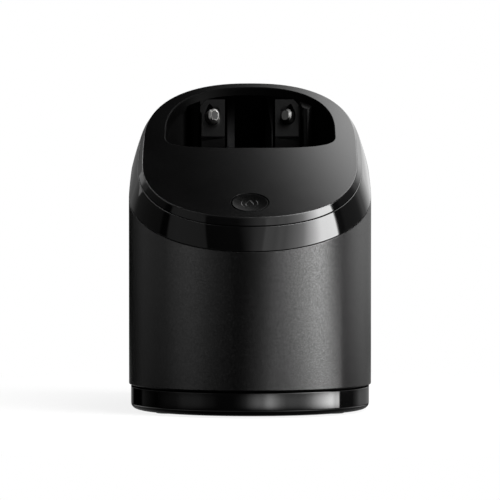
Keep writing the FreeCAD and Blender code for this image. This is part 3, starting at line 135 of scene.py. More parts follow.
def finish_of(name, base, rough, metallic=0.0, spec=0.5, tint=0.12, patch=60.0, sway=0.03, grain=900.0, depth=0.02,
              relief=0.00004, speckle=0.0, speckle_scale=2600.0, coat=0.0, coat_rough=0.05, transmission=0.0, ior=1.5,
              alpha=1.0, stretch=None, subsurface=0.0, anisotropic=0.0, sheen=0.0):
    """A moulded, turned or sprung surface: colour that drifts, roughness that drifts, a fine relief and, if asked, a
    speckle of bright grains."""
    m = bpy.data.materials.new(name)
    m.use_nodes = True
    t = Tree(m.node_tree)
    bsdf = m.node_tree.nodes["Principled BSDF"]
    coord = m.node_tree.nodes.new("ShaderNodeTexCoord").outputs["Object"]
    broad = t.noise(coord, patch, 4.0)
    low = tuple(c * (1.0 - tint) for c in base)
    high = tuple(min(1.0, c * (1.0 + tint)) for c in base)
    colour = t.ramp(broad, [(0.3, low), (0.7, high)])
    if speckle:
        flakes = t.noise(coord, speckle_scale, 2.0, 0.6)
        amount = t.ramp(flakes, [(0.56, 0.0), (0.70, speckle)])
        mix = m.node_tree.nodes.new("ShaderNodeMix")
        mix.data_type = "RGBA"
        mix.blend_type = "ADD"
        mix.inputs[0].default_value = 1.0
        t.link(colour, mix.inputs[6])
        t.link(amount, mix.inputs[7])
        colour = mix.outputs[2]
    t.link(colour, bsdf.inputs["Base Color"])
    fine = t.noise(coord, grain, 3.0, 0.6, stretch)
    blend = t.math("ADD", t.math("MULTIPLY", broad, 0.5), t.math("MULTIPLY", fine, 0.5))
    t.link(t.span(blend, 0.3, 0.7, max(0.0, rough - sway), min(1.0, rough + sway)), bsdf.inputs["Roughness"])
    if depth:
        bump = m.node_tree.nodes.new("ShaderNodeBump")
        bump.inputs["Strength"].default_value = depth
        bump.inputs["Distance"].default_value = relief
        t.link(fine, bump.inputs["Height"])
        t.link(bump.outputs[0], bsdf.inputs["Normal"])
    bsdf.inputs["Metallic"].default_value = metallic
    bsdf.inputs["IOR"].default_value = ior
    bsdf.inputs["Specular IOR Level"].default_value = spec
    bsdf.inputs["Coat Weight"].default_value = coat
    bsdf.inputs["Coat Roughness"].default_value = coat_rough
    bsdf.inputs["Transmission Weight"].default_value = transmission
    bsdf.inputs["Alpha"].default_value = alpha
    bsdf.inputs["Subsurface Weight"].default_value = subsurface
    bsdf.inputs["Anisotropic"].default_value = anisotropic
    bsdf.inputs["Sheen Weight"].default_value = sheen
    return m


def grey(v, blue=1.02):
    return (v, v, v * blue)


def grained(m, scale, low, high):
    """The sparkle of a grained moulding: its reflection comes and goes from grain to grain."""
    t = Tree(m.node_tree)
    coord = m.node_tree.nodes.new("ShaderNodeTexCoord").outputs["Object"]
    flakes = t.noise(coord, scale, 2.0, 0.6)
    t.link(t.span(flakes, 0.35, 0.65, low, high), m.node_tree.nodes["Principled BSDF"].inputs["Specular IOR Level"])
    return m


SHELL = grained(finish_of("shell_charcoal", grey(0.0002), 0.22, tint=0.18, patch=45, sway=0.010, grain=1900, depth=0.20,
                          relief=0.00004, speckle=0.0040, speckle_scale=1500), 1500, 0.38, 0.62)
GLOSS = finish_of("gloss_black", grey(0.0015), 0.05, tint=0.2, patch=30, sway=0.015, grain=140, depth=0.015, relief=0.0002)
KEY = finish_of("key_satin", grey(0.0006), 0.22, spec=0.2, tint=0.2, patch=120, sway=0.02, grain=2400, depth=0.10, relief=0.00003)
KEY_EDGE = finish_of("key_edge", grey(0.0006), 0.55, spec=0.06, tint=0.2, patch=120, sway=0.05, grain=2400, depth=0.1, relief=0.00003)
MOULD = finish_of("dark_mould", grey(0.010), 0.42, tint=0.2, patch=90, sway=0.05, grain=2200, depth=0.25, relief=0.00004)
WELL = finish_of("well_black", grey(0.0008), 0.38, spec=0.12, tint=0.2, patch=90, sway=0.04, grain=1800, depth=0.12, relief=0.00004)
# A dead, unreflecting black for the recess's pockets, channel, slots and left flank: painted shade.
DEEP_PAINTED_SHADE = finish_of("well_painted_shade", grey(0.0002), 0.6, spec=0.0, tint=0.2, patch=90, sway=0.05, grain=1800, depth=0.1, relief=0.00004)
TUB = finish_of("well_wall", grey(0.0006), 0.55, spec=0.03, tint=0.25, patch=60, sway=0.05, grain=1600, depth=0.12, relief=0.00004)
# The two pins' nickel in lit and shaded copies. The left pin's side is painted bright, a painted highlight. The right
# pin's side and both end faces are painted dark, a painted shade, each for how the light falls on that pin.
PIN_SIDE_PAINTED_LIGHT_AND_SHADE = {-1.0: finish_of("nickel_side_left_painted_highlight", (0.60, 0.595, 0.58), 0.30, metallic=1.0, tint=0.1, patch=300, sway=0.06, grain=1600,
                            depth=0.10, relief=0.00002),
            1.0: finish_of("nickel_side_right_painted_shade", (0.045, 0.0448, 0.044), 0.30, metallic=1.0, tint=0.1, patch=300, sway=0.06, grain=1600,
                           depth=0.10, relief=0.00002)}
PIN_END_PAINTED_SHADE = {-1.0: finish_of("nickel_end_left_painted_shade", (0.017, 0.017, 0.0165), 0.5, spec=0.15, tint=0.12, patch=500, sway=0.07, grain=1400,
                           depth=0.20, relief=0.00002),
           1.0: finish_of("nickel_end_right_painted_shade", (0.042, 0.042, 0.041), 0.5, spec=0.15, tint=0.12, patch=500, sway=0.07, grain=1400,
                          depth=0.20, relief=0.00002)}
GREY = finish_of("grey_mould", (0.11, 0.112, 0.12), 0.45, tint=0.1, patch=80, sway=0.06, grain=1700, depth=0.3, relief=0.00005)
PALE = finish_of("pale_mould", (0.42, 0.42, 0.41), 0.42, tint=0.07, patch=70, sway=0.05, grain=1500, depth=0.25, relief=0.00005)
RUBBER = finish_of("rubber", grey(0.018), 0.72, tint=0.25, patch=140, sway=0.08, grain=2600, depth=0.5, relief=0.00006)
STEEL = finish_of("steel", (0.56, 0.57, 0.58), 0.26, metallic=1.0, tint=0.06, patch=120, sway=0.07, grain=700, depth=0.12,
                  relief=0.00003, stretch=(1.0, 1.0, 0.12))
CASE = finish_of("drawn_case", (0.50, 0.51, 0.53), 0.34, metallic=1.0, tint=0.08, patch=60, sway=0.08, grain=500, depth=0.15,
                 relief=0.00003, stretch=(1.0, 1.0, 8.0))
NICKEL = finish_of("nickel", (0.105, 0.104, 0.102), 0.34, metallic=1.0, tint=0.08, patch=300, sway=0.06, grain=1600, depth=0.10,
                   relief=0.00002)
BRONZE = finish_of("bronze", (0.46, 0.27, 0.11), 0.38, metallic=1.0, tint=0.16, patch=400, sway=0.08, grain=3000, depth=0.3,
                   relief=0.00003, speckle=0.05, speckle_scale=3600)
CARTRIDGE = finish_of("cartridge", (0.30, 0.47, 0.60), 0.22, tint=0.06, patch=40, sway=0.05, grain=700, depth=0.10,
                      relief=0.00005, transmission=0.45, ior=1.49, subsurface=0.0)
CAP = finish_of("cartridge_cap", (0.10, 0.17, 0.25), 0.38, tint=0.1, patch=90, sway=0.05, grain=1700, depth=0.25, relief=0.00004)
FOAM = finish_of("foam", (0.72, 0.70, 0.62), 0.9, tint=0.22, patch=520, sway=0.06, grain=900, depth=0.9, relief=0.0004)
TUBE = finish_of("tube", (0.62, 0.65, 0.66), 0.32, tint=0.05, patch=90, sway=0.05, grain=900, depth=0.08, relief=0.00004,
                 transmission=0.35, ior=1.43)
BOARD = finish_of("board", (0.012, 0.075, 0.032), 0.30, tint=0.35, patch=260, sway=0.08, grain=1500, depth=0.2, relief=0.00003)
SWITCH = finish_of("switch", grey(0.03), 0.35, tint=0.2, patch=300, sway=0.05, grain=2200, depth=0.2, relief=0.00003)


def cover_finish():
    """The top cover: satin on the sloping face, polished on the skirt below its rounded edge."""
    m = finish_of("cover_black", grey(0.0013), 0.2, tint=0.2, patch=40, sway=0.0, grain=1500, depth=0.03, relief=0.00003)
    t = Tree(m.node_tree)
    bsdf = m.node_tree.nodes["Principled BSDF"]
    for link in list(bsdf.inputs["Roughness"].links):
        m.node_tree.links.remove(link)
    coord = m.node_tree.nodes.new("ShaderNodeTexCoord").outputs["Object"]
    parts = m.node_tree.nodes.new("ShaderNodeSeparateXYZ")
    t.link(coord, parts.inputs[0])
    plane0 = (124.3 - 0.54 * SHIFT) * MM
    above = t.math("SUBTRACT", parts.outputs[2], t.math("ADD", t.math("MULTIPLY", parts.outputs[1], 0.54), plane0))
    broad = t.noise(coord, 70, 4.0)
    satin = t.span(broad, 0.3, 0.7, 0.175, 0.20)
    mask = t.span(above, -0.0009, -0.0003, 0.0, 1.0)
    # the lip inside the recess is rough, with little reflection and a darker colour, the colour a painted shade: a
    # point belongs to it if it lies within an oval round the opening
    depth = t.math("MAXIMUM", t.math("SUBTRACT", parts.outputs[1], (33.0 + SHIFT) * MM), 0.0)
    oval = t.math("ADD", t.math("POWER", t.math("DIVIDE", t.math("ABSOLUTE", parts.outputs[0]), 0.0475), 2.35),
                  t.math("POWER", t.math("DIVIDE", depth, 0.0464), 2.35))
    inside = t.math("MULTIPLY", t.math("LESS_THAN", oval, 1.0), t.math("GREATER_THAN", parts.outputs[1], (5.0 + SHIFT) * MM))
    # and so is the edge round the start button
    down = t.math("DIVIDE", t.math("SUBTRACT", parts.outputs[1], (-36.8 + SHIFT) * MM), math.cos(FACE))
    apart = t.math("ADD", t.math("MULTIPLY", parts.outputs[0], parts.outputs[0]), t.math("MULTIPLY", down, down))
    inside = t.math("MAXIMUM", inside, t.math("LESS_THAN", apart, 0.0102 ** 2))
    lip = t.math("MULTIPLY", inside, t.span(above, -0.00002, -0.000005, 1.0, 0.0))
    rough = t.math("ADD", t.math("MULTIPLY", mask, satin), t.math("MULTIPLY", t.math("SUBTRACT", 1.0, mask), 0.05))
    t.link(t.math("ADD", rough, t.math("MULTIPLY", lip, 0.40)), bsdf.inputs["Roughness"])
    t.link(t.math("SUBTRACT", 0.5, t.math("MULTIPLY", lip, 0.475)), bsdf.inputs["Specular IOR Level"])
    colour = bsdf.inputs["Base Color"].links[0].from_socket
    # painted shade: the lip's colour darkened towards black
    mix = m.node_tree.nodes.new("ShaderNodeMix")
    mix.data_type = "RGBA"
    t.link(lip, mix.inputs[0])
    t.link(colour, mix.inputs[6])
    mix.inputs[7].default_value = (0.0003, 0.0003, 0.0003, 1.0)
    t.link(mix.outputs[2], bsdf.inputs["Base Color"])
    return m


def flank_painted_light_finish():
    """The walls of the channel in the recess: black at the top, a little greyer further down, a painted light for the
    light that reaches the lower walls.
    """
    m = finish_of("well_flank_painted_light", grey(0.0002), 0.6, spec=0.0, tint=0.2, patch=90, sway=0.05, grain=1800, depth=0.1, relief=0.00004)
    t = Tree(m.node_tree)
    bsdf = m.node_tree.nodes["Principled BSDF"]
    coord = m.node_tree.nodes.new("ShaderNodeTexCoord").outputs["Object"]
    parts = m.node_tree.nodes.new("ShaderNodeSeparateXYZ")
    t.link(coord, parts.inputs[0])
    # painted light: the colour greys towards the bottom of the walls
    deep = t.span(parts.outputs[2], 0.157, 0.137, 0.0, 1.0)
    colour = bsdf.inputs["Base Color"].links[0].from_socket
    mix = m.node_tree.nodes.new("ShaderNodeMix")
    mix.data_type = "RGBA"
    t.link(t.math("MULTIPLY", deep, deep), mix.inputs[0])
    t.link(colour, mix.inputs[6])
    mix.inputs[7].default_value = (0.009, 0.009, 0.0092, 1.0)
    t.link(mix.outputs[2], bsdf.inputs["Base Color"])
    return m


COVER = cover_finish()
FLANK_PAINTED_LIGHT = flank_painted_light_finish()

LOOKS = {
    "base_tray": GLOSS, "gloss_band": GLOSS, "lift_button": GLOSS, "outer_shell": SHELL, "head_cover": COVER,
    "start_button": KEY, "base_plate": MOULD, "rear_panel": MOULD, "power_socket": MOULD, "cradle_tub": TUB,
    "contact_block": WELL, "side_ribs": WELL, "rear_column": GREY, "mast_cap": GREY, "chassis": GREY, "carriage": GREY,
    "pump_housing": PALE, "pump_cover": GREY, "fan_housing": GREY, "button_guide": PALE, "latch_lever": PALE,
    "fan_wheel": PALE, "pump_impeller": PALE, "rubber_feet": RUBBER, "cover_gasket": RUBBER, "tub_gasket": RUBBER,
    "base_screws": STEEL, "housing_screws": STEEL, "guide_rods": STEEL, "lift_spring_left": STEEL,
    "lift_spring_right": STEEL, "latch_strike": STEEL, "button_spring": STEEL, "contact_springs": STEEL,
    "latch_pin": STEEL, "latch_spring": STEEL, "pump_shaft": STEEL, "fan_shaft": STEEL, "pump_motor": CASE,
    "fan_motor": CASE, "contact_pin_left": NICKEL, "contact_pin_right": NICKEL, "socket_pins": NICKEL,
    "slide_bushes": BRONZE, "cartridge_tub": CARTRIDGE, "cartridge_lid": CAP, "cartridge_filter": FOAM,
    "suction_tube": TUBE, "feed_tube": TUBE, "drain_tube": TUBE, "control_board": BOARD, "tact_switch": SWITCH,
}
for name, obj in nodes.items():
    obj.data.materials.clear()
    obj.data.materials.append(LOOKS[name])


# ---------------------------------------------------------------- outlines


def outline(half, front_start, front, front_power, rear_start, rear, rear_power, count=24):
    """Points of the closed outline, in plan, counter-clockwise from the right-hand side."""
    pts = []
    for k in range(count + 1):
        a = math.pi * k / count
        c, s = math.cos(a), math.sin(a)
        pts.append((math.copysign(abs(c) ** (2.0 / rear_power), c) * half, rear_start + rear * abs(s) ** (2.0 / rear_power)))
    for k in range(count + 1):
        a = math.pi + math.pi * k / count
        c, s = math.cos(a), math.sin(a)
        pts.append((math.copysign(abs(c) ** (2.0 / front_power), c) * half, front_start - front * abs(s) ** (2.0 / front_power)))
    out = []
    for p in pts:
        if not out or math.hypot(p[0] - out[-1][0], p[1] - out[-1][1]) > 1e-6:
            out.append(p)
    if math.hypot(out[0][0] - out[-1][0], out[0][1] - out[-1][1]) < 1e-6:
        out.pop()
    return out


def body_line(i=0.0):
    return outline(61.0 - i, 0.0, 56.5 - i, 2.1, 20.0, 62.4 - i, 2.4)


def collar_line(i=0.0):
    return outline(56.45 - i, 5.0, 57.0 - i, 2.35, 22.0, 59.7 - i, 2.35)


def flange_line(i=0.0):
    return outline(51.05 - i, 5.0, 51.6 - i, 2.35, 22.0, 56.5 - i, 2.35)


def middle_line(i=0.0):
    return outline(59.85 - i, 2.0, 57.3 - i, 2.2, 21.0, 60.95 - i, 2.38)


def face_line(i=0.0):
    return outline(54.2 - i, 4.0, 54.0 - i, 2.4, 22.0, 58.6 - i, 2.35)


def well_line(g=0.0):
    return outline(43.3 + g, 27.0, 12.0 + g, 3.4, 33.0, 42.8 + g, 2.35, 28)


PER = 8


def spline(pts, lean=0.0, per=PER):
    """The closed cubic through the points, per samples to a span, in plan."""
    p = np.array(pts, float)
    p[:, 1] /= math.cos(lean)
    n = len(p)
    h = np.hypot(*(np.roll(p, -1, 0) - p).T)
    a = np.zeros((n, n))
    r = np.zeros((n, 2))
    for k in range(n):
        b = (k - 1) % n
        a[k, b] += h[b]
        a[k, k] += 2 * (h[b] + h[k])
        a[k, (k + 1) % n] += h[k]
        r[k] = 6 * ((p[(k + 1) % n] - p[k]) / h[k] - (p[k] - p[b]) / h[b])
    m = np.linalg.solve(a, r)
    out = []
    for k in range(n):
        e = (k + 1) % n
        for q in range(per):
            u = h[k] * q / per
            v = h[k] - u
            out.append((m[k] * v ** 3 + m[e] * u ** 3) / (6 * h[k]) + (p[k] / h[k] - m[k] * h[k] / 6) * v + (p[e] / h[k] - m[e] * h[k] / 6) * u)
    out = np.array(out)
    out[:, 1] *= math.cos(lean)
    return out


def row(plan, height, slope=0.0, lift=0.0):
    """A plan loop lifted onto z = height + slope * depth + lift, in metres in the part's frame."""
    z = height + slope * plan[:, 1] + lift
    return np.column_stack([plan[:, 0], plan[:, 1] + SHIFT, z]) * MM


def mesh_object(name, verts, faces, look, body, replaces=(), sharp=35.0, weighted=True):
    me = bpy.data.meshes.new(name)
    me.from_pydata([tuple(v) for v in verts], [], faces)
    me.validate()
    bm = bmesh.new()
    bm.from_mesh(me)
    bmesh.ops.recalc_face_normals(bm, faces=bm.faces)
    bm.to_mesh(me)
    bm.free()
    obj = bpy.data.objects.new(name, me)
    scene.collection.objects.link(obj)
    me.materials.append(look)
    smooth(obj, sharp, weighted)
    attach(obj, body)
    if replaces:
        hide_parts(*replaces)
    return obj


def smooth(obj, sharp=35.0, weighted=True):
    me = obj.data
    me.shade_smooth()
    me.set_sharp_from_angle(angle=math.radians(sharp))
    if weighted and not any(m.type == "WEIGHTED_NORMAL" for m in obj.modifiers):
        w = obj.modifiers.new("normals", "WEIGHTED_NORMAL")
        w.keep_sharp = True
        w.weight = 60


def swept(rows, closed=True):
    """Vertices and quads of a section carried round a closed line: rows of equal length, each a loop."""
    n = len(rows[0])
    verts = np.concatenate(rows)
    faces = []
    last = len(rows) if closed else len(rows) - 1
    for k in range(last):
        a, b = k * n, ((k + 1) % len(rows)) * n
        for j in range(n):
            e = (j + 1) % n
            faces.append((a + j, a + e, b + e, b + j))
    return verts, faces


def arc(radius, start, stop, steps=4):
    """Quarter-round offsets: (inset, rise) pairs about the corner's own centre."""
    return [(radius * math.cos(math.radians(start + (stop - start) * k / steps)),
             radius * math.sin(math.radians(start + (stop - start) * k / steps))) for k in range(steps + 1)]


def boolean(obj, cutters, remove=True):
    """Takes the cutters out of obj and keeps the result as its mesh."""
    for c in cutters:
        mod = obj.modifiers.new("cut", "BOOLEAN")
        mod.operation = "DIFFERENCE"
        mod.solver = "EXACT"
        mod.object = c
    kept = [m for m in obj.modifiers if m.type != "BOOLEAN"]
    shown = [(m, m.show_viewport) for m in kept]
    for m in kept:
        m.show_viewport = False
    deps = bpy.context.evaluated_depsgraph_get()
    deps.update()
    result = bpy.data.meshes.new_from_object(obj.evaluated_get(deps), preserve_all_data_layers=True, depsgraph=deps)
    for m in [m for m in obj.modifiers if m.type == "BOOLEAN"]:
        obj.modifiers.remove(m)
    old = obj.data
    looks = list(old.materials)
    result.name = old.name + "_cut"
    obj.data = result
    result.materials.clear()
    for look in looks:
        result.materials.append(look)
    bpy.data.meshes.remove(old)
    for m, state in shown:
        m.show_viewport = state
    if remove:
        for c in cutters:
            data = c.data
            bpy.data.objects.remove(c)
            bpy.data.meshes.remove(data)


def raw_object(name, verts, faces):
    me = bpy.data.meshes.new(name)
    me.from_pydata([tuple(v) for v in verts], [], faces)
    bm = bmesh.new()
    bm.from_mesh(me)
    bmesh.ops.recalc_face_normals(bm, faces=bm.faces)
    bm.to_mesh(me)
    bm.free()
    obj = bpy.data.objects.new(name, me)
    scene.collection.objects.link(obj)
    return obj


def capped(rows):
    """Rows joined into a tube whose two ends are closed by one face each."""
    verts, faces = swept(rows, closed=False)
    n = len(rows[0])
    faces.append(tuple(range(n))[::-1])
    faces.append(tuple(range((len(rows) - 1) * n, len(rows) * n)))
    return verts, faces


def rounded(x0, z0, x1, z1, r, grow=0.0, steps=6):
    """A rounded rectangle, grown outward."""
    x0, z0, x1, z1, r = x0 - grow, z0 - grow, x1 + grow, z1 + grow, r + grow
    pts = []
    for cx, cz, a in ((x1 - r, z1 - r, 0), (x0 + r, z1 - r, 90), (x0 + r, z0 + r, 180), (x1 - r, z0 + r, 270)):
        for k in range(steps + 1):
            t = math.radians(a + 90.0 * k / steps)
            pts.append((cx + r * math.cos(t), cz + r * math.sin(t)))
    return pts


def thicken(pts, times=1):
    """More points on the long sides, so that a cutter follows a curved wall."""
    for _ in range(times):
        out = []
        for k, p in enumerate(pts):
            q = pts[(k + 1) % len(pts)]
            out.append(p)
            d = math.hypot(q[0] - p[0], q[1] - p[1])
            if d > 1.6:
                cuts = int(d / 1.2)
                for c in range(1, cuts):
                    out.append((p[0] + (q[0] - p[0]) * c / cuts, p[1] + (q[1] - p[1]) * c / cuts))
        pts = out
    return pts


def back_wall(x, i=0.0):
    """Depth of the rear of the shell's outline at x, in plan."""
    u = min(1.0, abs(x) / (61.0 - i))
    return 20.0 + (62.4 - i) * (1.0 - u ** 2.4) ** (1.0 / 2.4)


def back_cutter(name, x0, z0, x1, z1, r, edge=0.4, reach=8.0):
    """A cutter for a hole in the rear wall, flared where it leaves it, so that the hole has a rounded edge."""
    rows = []
    base = thicken(rounded(x0, z0, x1, z1, r))
    steps = [(0.0, None), (0.0, -edge)]
    steps += [(edge * (1 - math.cos(math.radians(a))), -edge + edge * math.sin(math.radians(a))) for a in (22, 44, 64)]
    g, d = steps[-1]
    steps.append((g + 1.0, d + 0.55))
    steps.append((g + 1.0, 4.0))
    for grow, depth in steps:
        ring = []
        for x, z in thicken_like(base, x0, z0, x1, z1, r, grow):
            wall = back_wall(x)
            if depth is None:
                y = back_wall(x1) - reach
            elif depth == 4.0:
                y = back_wall(0.0) + 4.0
            else:
                y = wall + depth
            ring.append((x * MM, (y + SHIFT) * MM, z * MM))
        rows.append(np.array(ring))
    verts, faces = capped(rows)
    return raw_object(name, verts, faces)


def thicken_like(base, x0, z0, x1, z1, r, grow):
    """The base loop's points moved outward by grow, along the rounded rectangle's own normals."""
    out = []
    for x, z in base:
        cx = min(max(x, x0 + r), x1 - r)
        cz = min(max(z, z0 + r), z1 - r)
        dx, dz = x - cx, z - cz
        d = math.hypot(dx, dz)
        out.append((x + grow * dx / d, z + grow * dz / d) if d > 1e-9 else (x, z))
    return out


# ---------------------------------------------------------------- base ring


def base_ring():
    """The gloss ring with its rounded lower edge, the floor, the lip inside the shell and what stands on the floor."""
    rows = []
    under = spline(body_line(6.0))
    rows.append(row(under, 2.9))
    rows.append(row(under, 0.9))
    for k in range(9):
        a = math.radians(-90 + 90 * k / 8)
        rows.append(row(spline(body_line(1.0 + 3.0 - 3.0 * math.cos(a))), 3.9 + 3.0 * math.sin(a)))
    rows.append(row(spline(body_line(1.0)), 7.5))
    rows.append(row(spline(body_line(1.0)), 11.9))
    for k in range(1, 5):
        a = math.radians(90 * k / 4)
        rows.append(row(spline(body_line(1.4 - 0.4 * math.cos(a))), 11.9 + 0.4 * math.sin(a)))
    rows.append(row(spline(body_line(3.0)), 12.3))
    rows.append(row(spline(body_line(3.2)), 12.5))
    rows.append(row(spline(body_line(3.2)), 16.6))
    rows.append(row(spline(body_line(3.5)), 17.0))
    rows.append(row(spline(body_line(4.9)), 17.0))
    rows.append(row(spline(body_line(5.2)), 16.6))
    rows.append(row(spline(body_line(5.2)), 5.4))
    rows.append(row(spline(body_line(5.7)), 4.9))
    verts, faces = swept(rows, closed=False)
    n = len(rows[0])
    # the floor: both sides closed by a fan about the middle
    verts = [tuple(v) for v in verts]
    for first, z in ((0, 2.9), ((len(rows) - 1) * n, 4.9)):
        centre = len(verts)
        verts.append((0.0, SHIFT * MM + 0.012, z * MM))
        for j in range(n):
            faces.append((first + j, first + (j + 1) % n, centre))
    ring = mesh_object("base_ring", verts, faces, GLOSS, "base", ("base_tray",))
    gap = raw_object("gap", *box_mesh(-20.5, 74.0, 12.3, 20.5, 90.0, 20.0))
    cuts = [gap]
    for x, y in ((-20.0, -34.0), (20.0, -34.0), (-38.0, 60.0), (38.0, 60.0)):
        cuts.append(raw_object("bore", *tube_mesh(x, y, 1.0, 1.5, 8.0)))
    boolean(ring, cuts)
    smooth(ring)
    # painted shade: the ring's underside and its top edge at the seam go matt black
    matt_painted_shade(ring, lambda z: z < 3.6 or z > 12.05)
    # what stands on the floor, one mesh of closed shells
    bm = bmesh.new()
    for x, y in ((-20.0, -34.0), (20.0, -34.0), (-38.0, 60.0), (38.0, 60.0)):
        add_post(bm, x, y, 4.85, 8.0, 3.4, bore=1.5)
    for x in (-26.0, 26.0):
        add_post(bm, x, 64.0, 4.85, 9.0, 5.4, bore=3.02)
    for x in (-36.0, 36.0):
        add_bar(bm, x - 1.0, -25.0, x + 1.0, 42.0, 4.85, 8.3, 0.5)
    me = bpy.data.meshes.new("tray_bosses")
    bm.to_mesh(me)
    bm.free()
    posts = bpy.data.objects.new("tray_bosses", me)
    scene.collection.objects.link(posts)
    me.materials.append(GLOSS)
    smooth(posts)
    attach(posts, "base")


def matt_painted_shade(obj, where):
    """Gives the faces whose height passes the test the matt, darker black of the well's walls: painted shade under the
    ring's lower edge and along the seam between the ring and the shell.
    """
    obj.data.materials.append(TUB)
    for p in obj.data.polygons:
        if where(p.center[2] / MM):
            p.material_index = 1


def box_mesh(x0, y0, z0, x1, y1, z1):
    v = [(x * MM, (y + SHIFT) * MM, z * MM) for z in (z0, z1) for x, y in ((x0, y0), (x1, y0), (x1, y1), (x0, y1))]
    return v, [(3, 2, 1, 0), (4, 5, 6, 7), (0, 1, 5, 4), (1, 2, 6, 5), (2, 3, 7, 6), (3, 0, 4, 7)]


def ring_of(x, y, z, r, n=40):
    return np.array([((x + r * math.cos(2 * math.pi * k / n)) * MM, (y + SHIFT + r * math.sin(2 * math.pi * k / n)) * MM, z * MM)
                     for k in range(n)])


def tube_mesh(x, y, z0, r, z1, n=40):
    return capped([ring_of(x, y, z0, r, n), ring_of(x, y, z1, r, n)])


def add_rows(bm, rows, closed=True):
    verts, faces = swept(rows, closed)
    made = [bm.verts.new(tuple(v)) for v in verts]
    new = [bm.faces.new([made[i] for i in f]) for f in faces]
    bmesh.ops.recalc_face_normals(bm, faces=new)
    return made, new


def add_post(bm, x, y, z0, z1, r, bore=0.0, edge=0.3):
    """A round post with a rounded top edge and a bore."""
    rows = [ring_of(x, y, z0, r)]
    for k in range(5):
        a = math.radians(90 * k / 4)
        rows.append(ring_of(x, y, z1 - edge + edge * math.sin(a), r - edge + edge * math.cos(a)))
    rows.append(ring_of(x, y, z1, bore + 0.2))
    rows.append(ring_of(x, y, z1 - 0.2, bore))
    rows.append(ring_of(x, y, z0, bore))
    add_rows(bm, rows)


def add_bar(bm, x0, y0, x1, y1, z0, z1, edge):
    rows = []
    for z, inset in ((z0, 0.0), (z1 - edge, 0.0), (z1 - edge * 0.3, edge * 0.3), (z1, edge)):
        pts = rounded(x0 + inset, y0 + inset, x1 - inset, y1 - inset, 0.9 - inset if 0.9 > inset else 0.05)
        rows.append(np.array([(x * MM, (y + SHIFT) * MM, z * MM) for x, y in pts]))
    verts, faces = capped(rows)
    made = [bm.verts.new(tuple(v)) for v in verts]
    new = [bm.faces.new([made[i] for i in f]) for f in faces]
    bmesh.ops.recalc_face_normals(bm, faces=new)


# ---------------------------------------------------------------- shell


def shell():
    """The matt shell: an even wall with rounded rims, the notch, the lift key's aperture and the vents at the back."""
    lean = math.atan(0.493)
    e = 0.5
    rows = []
    for k in range(5):
        a = math.radians(-90 + 90 * k / 4)
        rows.append(row(spline(body_line(e - e * math.cos(a))), 13.2 + e + e * math.sin(a)))
    for z in (30.0, 50.0, 60.0, 70.0):
        rows.append(row(spline(body_line(0.0)), z))
    e = 0.2
    for k in range(6):
        a = math.radians(90 * k / 5)
        rows.append(row(spline(body_line(e - e * math.cos(a)), lean), 108.2, 0.493, -e + e * math.sin(a)))
    rows.append(row(spline(body_line(2.2), lean), 108.2, 0.493))
    rows.append(row(spline(body_line(2.2)), 60.0))
    rows.append(row(spline(body_line(2.2)), 13.2))
    verts, faces = swept(rows)
    obj = mesh_object("shell", verts, faces, SHELL, "housing", ("outer_shell",))
    cuts = [back_cutter("c0", -19.5, 5.0, 19.5, 52.2, 1.2), back_cutter("c1", -12.4, 71.6, 12.4, 84.4, 3.4)]
    for k in range(5):
        z = 102.0 + 4.6 * k
        cuts.append(back_cutter("v%d" % k, -14.0, z - 0.9, 14.0, z + 0.9, 0.9, edge=0.3))
    boolean(obj, cuts)
    smooth(obj)
    # painted shade: the shell's lower rim at the seam goes matt black
    matt_painted_shade(obj, lambda z: z < 13.75)
    bm = bmesh.new()
    for x, y in ((-55.4, 8.0), (55.4, 8.0), (-39.0, -37.4), (39.0, -37.4)):
        add_post(bm, x, y, 58.6, 74.6, 3.2, bore=1.2)
    me = bpy.data.meshes.new("shell_bosses")
    bm.to_mesh(me)
    bm.free()
    posts = bpy.data.objects.new("shell_bosses", me)
    scene.collection.objects.link(posts)
    me.materials.append(SHELL)
    smooth(posts)
    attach(posts, "housing")


# ---------------------------------------------------------------- band


